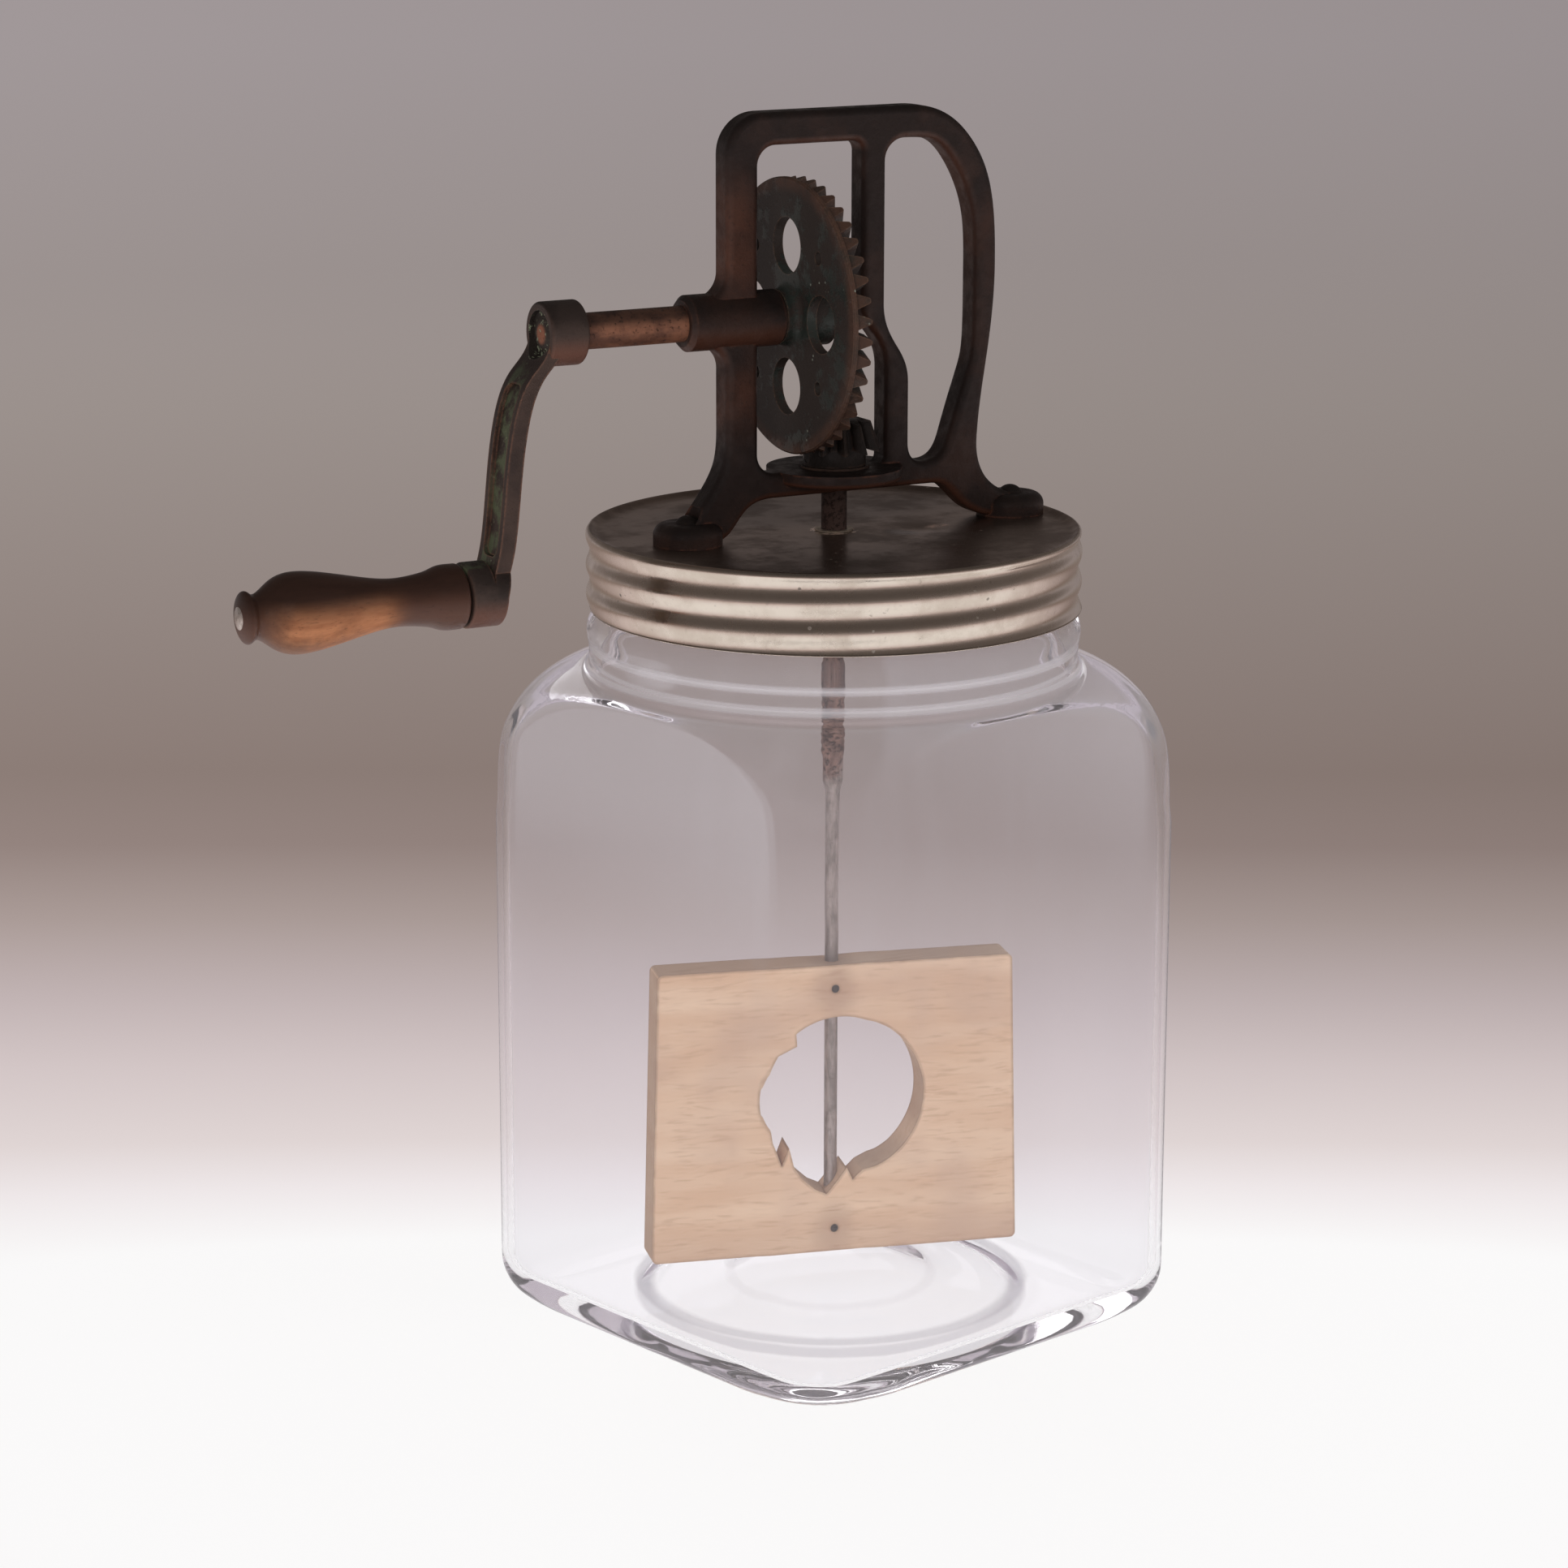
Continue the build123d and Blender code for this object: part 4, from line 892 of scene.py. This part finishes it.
def crank_iron():
    """Brown iron with green paint left in the arm's channel and in the hub's recess, painted shade
    on the sides that face up and painted light on the sides that face down.
    """
    look = Look("crank_iron")
    # The fourth colour here is painted light for the sides that face down.
    dark, brown, pitted, wear_and_underlight = (46, 36, 32), (66, 52, 46), (34, 26, 23), (124, 80, 64)
    green, light_green, rubbed_iron = (88, 96, 70), (138, 142, 112), (138, 96, 76)
    recess_dark, recess_fleck = (42, 36, 32), (140, 146, 120)
    grain = look.noise(1000, 4, 0.65)
    cloud = look.steps(look.noise(75, 6, 0.6), 0.38, 0.62)
    base = look.mix(cloud, dark, brown)
    channel = look.steps(look.away((0, 0, 0), (0, 1, 0)), *CHANNEL_SIDE)
    channel = look.times(channel, look.steps(look.axis("X"), *CHANNEL_START))
    kept = look.steps(look.noise(150, 6, 0.7), 0.44, 0.58)
    base = look.mix(look.times(channel, kept, 0.8), base, green)
    bright = look.times(channel, look.steps(look.noise(330, 4, 0.7), 0.62, 0.72))
    base = look.mix(bright, base, light_green)
    rubbed = look.times(look.edges(0.001), look.steps(grain, 0.3, 0.6), 0.7)
    base = look.mix(rubbed, base, rubbed_iron)
    base = look.mix(look.steps(grain, 0.58, 0.74, 0.0, 0.6), base, pitted)
    # Painted shade on the sides that face up, and painted light in the pale brown colour on the
    # sides that face down.
    base = look.painted_underlight(look.painted_top_shade(base, 0.6), 0.6, wear_and_underlight)
    recess = look.steps(look.away(SHAFT_AXIS, ROUND_X), *HUB_RECESS)
    recess = look.times(recess, look.steps(look.axis("X"), *HUB_FLOOR))
    flecks = look.steps(look.noise(520, 4, 0.7), 0.58, 0.64)
    base = look.mix(recess, base, look.mix(flecks, recess_dark, recess_fleck))
    look.set(Base_Color=base, Roughness=look.steps(cloud, 0, 1, 0.48, 0.62),
             Specular_IOR_Level=0.4, Normal=look.bump(grain, 0.45, 0.0004))
    return look.material


def worn_steel(name, bright, roughness):
    look = Look(name)
    scuffed = (110, 88, 74)
    scuffs = look.noise(700, 5, 0.7)
    base = look.mix(look.steps(scuffs, 0.50, 0.72, 0.0, 0.6), bright, scuffed)
    rough = look.steps(scuffs, 0.3, 0.7, roughness, roughness + 0.2)
    look.set(Base_Color=base, Metallic=0.9, Roughness=rough,
             Normal=look.bump(scuffs, 0.2, 0.0002))
    return look.material


# ---- tinned sheet ------------------------------------------------------------------------
LID_TOP_START = (0.2205, 0.2216)
LID_TOP_EDGE = (0.0673, 0.0668)
# painted shade on the lid's top, the dent's dark side and the frame's dark reflection at the back:
# place, stretch, reach, strength and colour
LID_PAINTED_SHADE = (
    ((0.0149, -0.0108, 0), (1.0, 1.0, 0), 0.0060, 0.65, (52, 42, 38)),
    ((0.0100, 0.0300, 0), (0.5, 1.0, 0), 0.0300, 0.55, (84, 70, 64)),
)
# a ring of crumbs round the spindle's collar: its radius, and how far out it fades
CRUMB_RING = 0.0056
CRUMB_SPREAD = (0.0013, 0.0006)
# painted highlight on the dent's lit side: place, stretch and edge
DENT_LIT_SPOT = (0.0285, -0.0075, 0)
DENT_LIT_SPOT_STRETCH = (1, 1.4, 0)
DENT_LIT_SPOT_EDGE = (0.0050, 0.0020)


def tinned_sheet():
    """Tinned sheet: bright where the thread is rubbed, dulled brown on top, with dark specks, and
    painted shade and a painted highlight round the dent and at the back of the top.
    """
    look = Look("tinned_sheet")
    bright_side, worn_side = (228, 216, 203), (198, 182, 166)
    light_top, dark_top = (168, 150, 138), (142, 126, 116)
    crumb, dent_lit, speck, scuffed = (214, 184, 166), (150, 116, 100), (74, 56, 48), (96, 80, 70)
    reach = look.away((0, 0, 0), ROUND_Z)
    top = look.steps(look.axis("Z"), *LID_TOP_START)
    top = look.times(top, look.steps(reach, *LID_TOP_EDGE))
    cloud = look.steps(look.noise(55, 7, 0.66), 0.36, 0.66)
    fine = look.noise(520, 5, 0.7)
    side = look.mix(look.times(cloud, 0.55), bright_side, worn_side)
    base = look.mix(top, side, look.mix(cloud, light_top, dark_top))
    # Painted shade: the dent's dark side, and the frame's dark reflection on the back of the top.
    for centre, stretch, mark_reach, strength, stain_and_shade in LID_PAINTED_SHADE:
        mark = look.away(centre, stretch)
        mark = look.steps(mark, mark_reach, mark_reach * 0.45, 0.0, strength)
        base = look.mix(look.times(mark, top), base, stain_and_shade)
    ring = look.absolute(look.minus(reach, CRUMB_RING))
    broken = look.steps(look.noise(330, 3), 0.50, 0.56)
    crumbs = look.times(look.steps(ring, *CRUMB_SPREAD), top, broken)
    base = look.mix(crumbs, base, crumb)
    # Painted highlight: a pale brown spot on the dent's lit side, also made dull.
    spot = look.steps(look.away(DENT_LIT_SPOT, DENT_LIT_SPOT_STRETCH), *DENT_LIT_SPOT_EDGE)
    spot = look.times(spot, look.steps(fine, 0.40, 0.60, 0.2, 0.8))
    base = look.mix(look.times(spot, top), base, dent_lit)
    clusters = look.steps(look.noise(46, 3), 0.52, 0.60)
    specks = look.times(look.steps(look.cells(290), 0.17, 0.09), clusters)
    base = look.mix(look.times(specks, 0.8), base, speck)
    base = look.mix(look.steps(fine, 0.60, 0.78, 0.0, 0.45), base, scuffed)
    chalky = look.most(look.times(spot, top), crumbs, specks)
    rough = look.plus(look.steps(cloud, 0, 1, 0.20, 0.34), look.times(top, 0.08))
    look.set(Base_Color=base, Metallic=look.steps(chalky, 0, 1, 1.0, 0.25), Roughness=rough,
             Normal=look.bump(look.plus(fine, cloud), 0.12, 0.0002))
    return look.material


# ---- wood and rubber ---------------------------------------------------------------------
GRIP_HEIGHT = 0.2146
# the grip's underside, the middle of its orange patch and the patch's reach; the patch is partly
# wear and partly painted light from below
GRIP_UNDERSIDE = (GRIP_HEIGHT + 0.0055, GRIP_HEIGHT - 0.0050)
GRIP_MIDDLE = (-0.1500, 0, 0)
GRIP_WEAR_AND_LIGHT_REACH = (0.0230, 0.0120)
PADDLE_TURN = -15.2
PADDLE_PINS = (0.0223, 0.0929)
PIN_STAIN = (0.011, 0.005)
PADDLE_FOOT = (0.030, 0.016)


def grip_wood():
    """Turned hardwood: dark old varnish, worn through to orange wood under the palm; the underside
    is lighter, partly wear and partly painted light from below.
    """
    look = Look("grip_wood")
    dark_varnish, brown_varnish, underlit_varnish = (38, 24, 19), (56, 36, 28), (122, 82, 66)
    dark_wood, light_wood, pore = (178, 114, 76), (204, 138, 96), (40, 26, 20)
    grain = look.noise(1.0, 5, 0.6, place=look.stretched((28, 420, 420)))
    pores = look.noise(1.0, 4, 0.7, place=look.stretched((160, 1900, 1900)))
    # The orange patch on the underside's middle is partly wear and partly painted light from below.
    under = look.steps(look.axis("Z"), *GRIP_UNDERSIDE)
    middle = look.steps(look.away(GRIP_MIDDLE, (1, 0, 0)), *GRIP_WEAR_AND_LIGHT_REACH)
    ragged = look.steps(look.noise(70, 5, 0.6), 0.28, 0.58, 0.45, 1.0)
    wear_and_underlight = look.times(under, middle, ragged)
    varnish = look.mix(grain, dark_varnish, brown_varnish)
    bare = look.mix(look.steps(grain, 0.30, 0.70), dark_wood, light_wood)
    base = look.mix(wear_and_underlight, varnish, bare)
    # Painted light: the rest of the underside is lighter, as if lit from below.
    underside_light = look.times(under, look.minus(1.0, middle), 0.5)
    base = look.mix(underside_light, base, underlit_varnish)
    base = look.mix(look.steps(pores, 0.56, 0.70, 0.0, 0.45), base, pore)
    height = look.plus(look.times(grain, 0.4), pores)
    look.set(Base_Color=base, Roughness=look.steps(wear_and_underlight, 0, 1, 0.36, 0.52),
             Specular_IOR_Level=0.3, Normal=look.bump(height, 0.15, 0.0002))
    return look.material


def board_wood():
    """Pale board with its grain along its length, dark ends and edges, stained round the pins, and
    painted shade on the faces that face up.
    """
    look = Look("board_wood")
    dark_wood, light_wood, dark_line = (228, 188, 156), (242, 209, 180), (196, 154, 122)
    clouded, pin_stain, shaded_top_wood = (206, 172, 152), (150, 116, 98), (134, 112, 98)
    end_wood, rubbed_wood, foot_wood = (168, 134, 110), (146, 114, 94), (176, 142, 124)
    drawn = look.stretched((7, 60, 120), turn=-PADDLE_TURN)
    drawn_fine = look.stretched((30, 500, 900), turn=-PADDLE_TURN)
    grain = look.noise(1.0, 6, 0.5, place=drawn, distortion=0.15)
    lines = look.noise(1.0, 5, 0.65, place=drawn_fine)
    cloud = look.noise(26, 4, 0.5)
    base = look.mix(look.steps(grain, 0.30, 0.70), dark_wood, light_wood)
    base = look.mix(look.steps(lines, 0.50, 0.68, 0.0, 0.45), base, dark_line)
    base = look.mix(look.steps(cloud, 0.44, 0.68, 0.0, 0.5), base, clouded)
    for height in PADDLE_PINS:
        stain_and_shade = look.steps(look.away((0, 0, height), (1, 1, 0.8)), *PIN_STAIN, 0.0, 0.4)
        base = look.mix(stain_and_shade, base, pin_stain)
    # Painted shade: the faces that face up are darker.
    base = look.mix(look.steps(look.facing("Z"), 0.4, 0.9, 0.0, 0.5), base, shaded_top_wood)
    turn = math.radians(PADDLE_TURN)
    endwise = look.plus(look.times(look.facing("X"), math.cos(turn)),
                        look.times(look.facing("Y"), math.sin(turn)))
    base = look.mix(look.steps(look.absolute(endwise), 0.8, 0.97, 0.0, 0.55), base, end_wood)
    rubbed = look.steps(look.noise(240, 4), 0.3, 0.6, 0.4, 0.9)
    base = look.mix(look.times(look.edges(0.0016), rubbed), base, rubbed_wood)
    foot = look.steps(look.axis("Z"), *PADDLE_FOOT, 0.0, 0.25)
    base = look.mix(foot, base, foot_wood)
    height = look.plus(look.times(grain, 0.3), lines)
    look.set(Base_Color=base, Roughness=0.72, Specular_IOR_Level=0.25,
             Normal=look.bump(height, 0.2, 0.0002))
    return look.material


def seal_rubber():
    look = Look("seal_rubber")
    rubber, dusty = (70, 58, 52), (110, 94, 84)
    look.set(Base_Color=look.mix(look.noise(300, 4, 0.6), rubber, dusty), Roughness=0.8)
    return look.material


# ---- glass -------------------------------------------------------------------------------
GLASS_IOR = 1.105
GLASS_TINT = (0.985, 0.98, 0.995, 1)      # linear
GLASS_DUST = 0.055
GLASS_MARKS = 0.03
# film where the glass is seen edge-on, partly dust and partly painted edge lines
GLASS_EDGES = 0.22
EDGE_ON = (0.80, 1.0)
GLASS_RINGS = 0.30
# the push-up's two rings: where each rises and falls off with the radius, and its strength
BASE_OUTER_RING = ((0.0485, 0.0515), (0.0560, 0.0540))
BASE_INNER_RING = ((0.0250, 0.0270), (0.0300, 0.0280))
INNER_RING_STRENGTH = 0.35
RINGS_BELOW = (0.0080, 0.0060)
# painted reflection, drawn as denser film
GLASS_GLEAM = 0.13             # on the face to the left of the front corner
GLEAM_FACING = (0.985, 0.996)
GLEAM_HEIGHT = (0.118, 0.166)
# painted highlight lines round the neck: height and half width
NECK_GLEAMS = ((0.1915, 0.0012), (0.1860, 0.0011))
NECK_GLEAM = 0.3
MARKS_ABOVE = (0.05, 0.15)


def clear_glass():
    """Colourless glass, faintly uneven, with a film of dust and old water marks.

    The film is denser where it is seen edge-on, partly as dust and partly as painted edge lines,
    and it carries a painted reflection on the face left of the front corner and painted
    highlight lines round the neck. Light for the things inside passes straight through.
    """
    look = Look("clear_glass")
    tree = look.tree
    film_face, edge_line_film, film_ring = (246, 242, 248), (196, 190, 206), (176, 168, 184)
    look.set(Base_Color=GLASS_TINT, Roughness=0.0, IOR=GLASS_IOR, Transmission_Weight=1.0,
             Normal=look.bump(look.noise(18, 2, 0.4), 0.04, 0.002))
    # Denser film where the glass is seen edge-on: partly dust, partly painted edge lines.
    slant = look.node("ShaderNodeLayerWeight", Blend=0.5)
    edge_on = look.steps(slant.outputs["Facing"], *EDGE_ON)
    reach = look.away((0, 0, 0), ROUND_Z)
    height = look.axis("Z")
    low = look.steps(height, *RINGS_BELOW)
    outer_ring, inner_ring = [
        look.times(look.steps(reach, *rise), look.steps(reach, *fall), low)
        for rise, fall in (BASE_OUTER_RING, BASE_INNER_RING)
    ]
    rings = look.plus(outer_ring, look.times(inner_ring, INNER_RING_STRENGTH))
    side = math.radians(JAR_TURN + 180)
    leftward = look.plus(look.times(look.facing("X"), math.cos(side)),
                         look.times(look.facing("Y"), math.sin(side)))
    # Painted reflection on the left face and painted highlight lines round the neck, drawn as
    # denser film.
    gleam = look.times(look.steps(leftward, *GLEAM_FACING),
                       look.steps(height, *GLEAM_HEIGHT), GLASS_GLEAM)
    for middle, spread in NECK_GLEAMS:
        off = look.absolute(look.minus(height, middle))
        gleam = look.plus(gleam, look.times(look.steps(off, spread, spread * 0.3), NECK_GLEAM))
    runs = look.noise(1.0, 5, 0.65, place=look.stretched((55, 55, 9)))
    marks = look.times(look.steps(runs, 0.50, 0.72), look.steps(height, *MARKS_ABOVE))
    tint = look.mix(rings, look.mix(edge_on, film_face, edge_line_film), film_ring)
    film = look.node("ShaderNodeBsdfDiffuse", Color=tint)
    density = look.plus(look.times(marks, GLASS_MARKS), GLASS_DUST, gleam,
                        look.times(edge_on, GLASS_EDGES), look.times(rings, GLASS_RINGS))
    dusty = choose(tree, density, look.shader, film)
    path = look.node("ShaderNodeLightPath")
    passing = look.most(path.outputs["Is Shadow Ray"], path.outputs["Is Diffuse Ray"])
    show(tree, choose(tree, passing, dusty, look.node("ShaderNodeBsdfTransparent")))
    return look.material


# ---- the finishes on their pieces --------------------------------------------------------
def give(material, *names):
    """Puts a finish on CAD pieces."""
    for name in names:
        slots = NODES[name].data.materials
        slots.clear()
        slots.append(material)


frame_iron = cast_iron("frame_iron", (30, 22, 20), (46, 31, 26), (92, 55, 40), BROWN_PATCHES)
small_iron = cast_iron("small_iron", (24, 20, 18), (34, 27, 24), (62, 43, 34))
shaft_rust = rusty_steel("shaft_rust", (138, 92, 70), (92, 60, 48),
                         streak=(110, 170, 170), end=SHAFT_OUTER_END)
washer_rust = rusty_steel("washer_rust", (62, 46, 38), (42, 31, 27))
pin_rust = rusty_steel("pin_rust", (62, 48, 42), (44, 33, 29))
spindle_finish = spindle_steel()
give(frame_iron, "gear_frame")
give(small_iron, "pinion", "frame_rivets", "pinion_pin")
give(gear_iron(), "drive_gear")
give(shaft_rust, "crank_shaft", "gear_pin")
give(washer_rust, "shaft_washer", "pinion_washer", "grip_washer")
give(pin_rust, "paddle_pins", "rivet_washers")
give(spindle_finish, "spindle")
give(crank_iron(), "crank_arm")
give(worn_steel("pin_steel", (206, 198, 190), 0.22), "grip_pin")
give(worn_steel("eyelet_steel", (196, 182, 164), 0.35), "spindle_eyelet")
give(grip_wood(), "grip")
give(board_wood(), "paddle")
give(seal_rubber(), "lid_gasket")
spindle_crust().data.materials.append(spindle_finish)
screw_lid().data.materials.append(tinned_sheet())
glass_jar().data.materials.append(clear_glass())
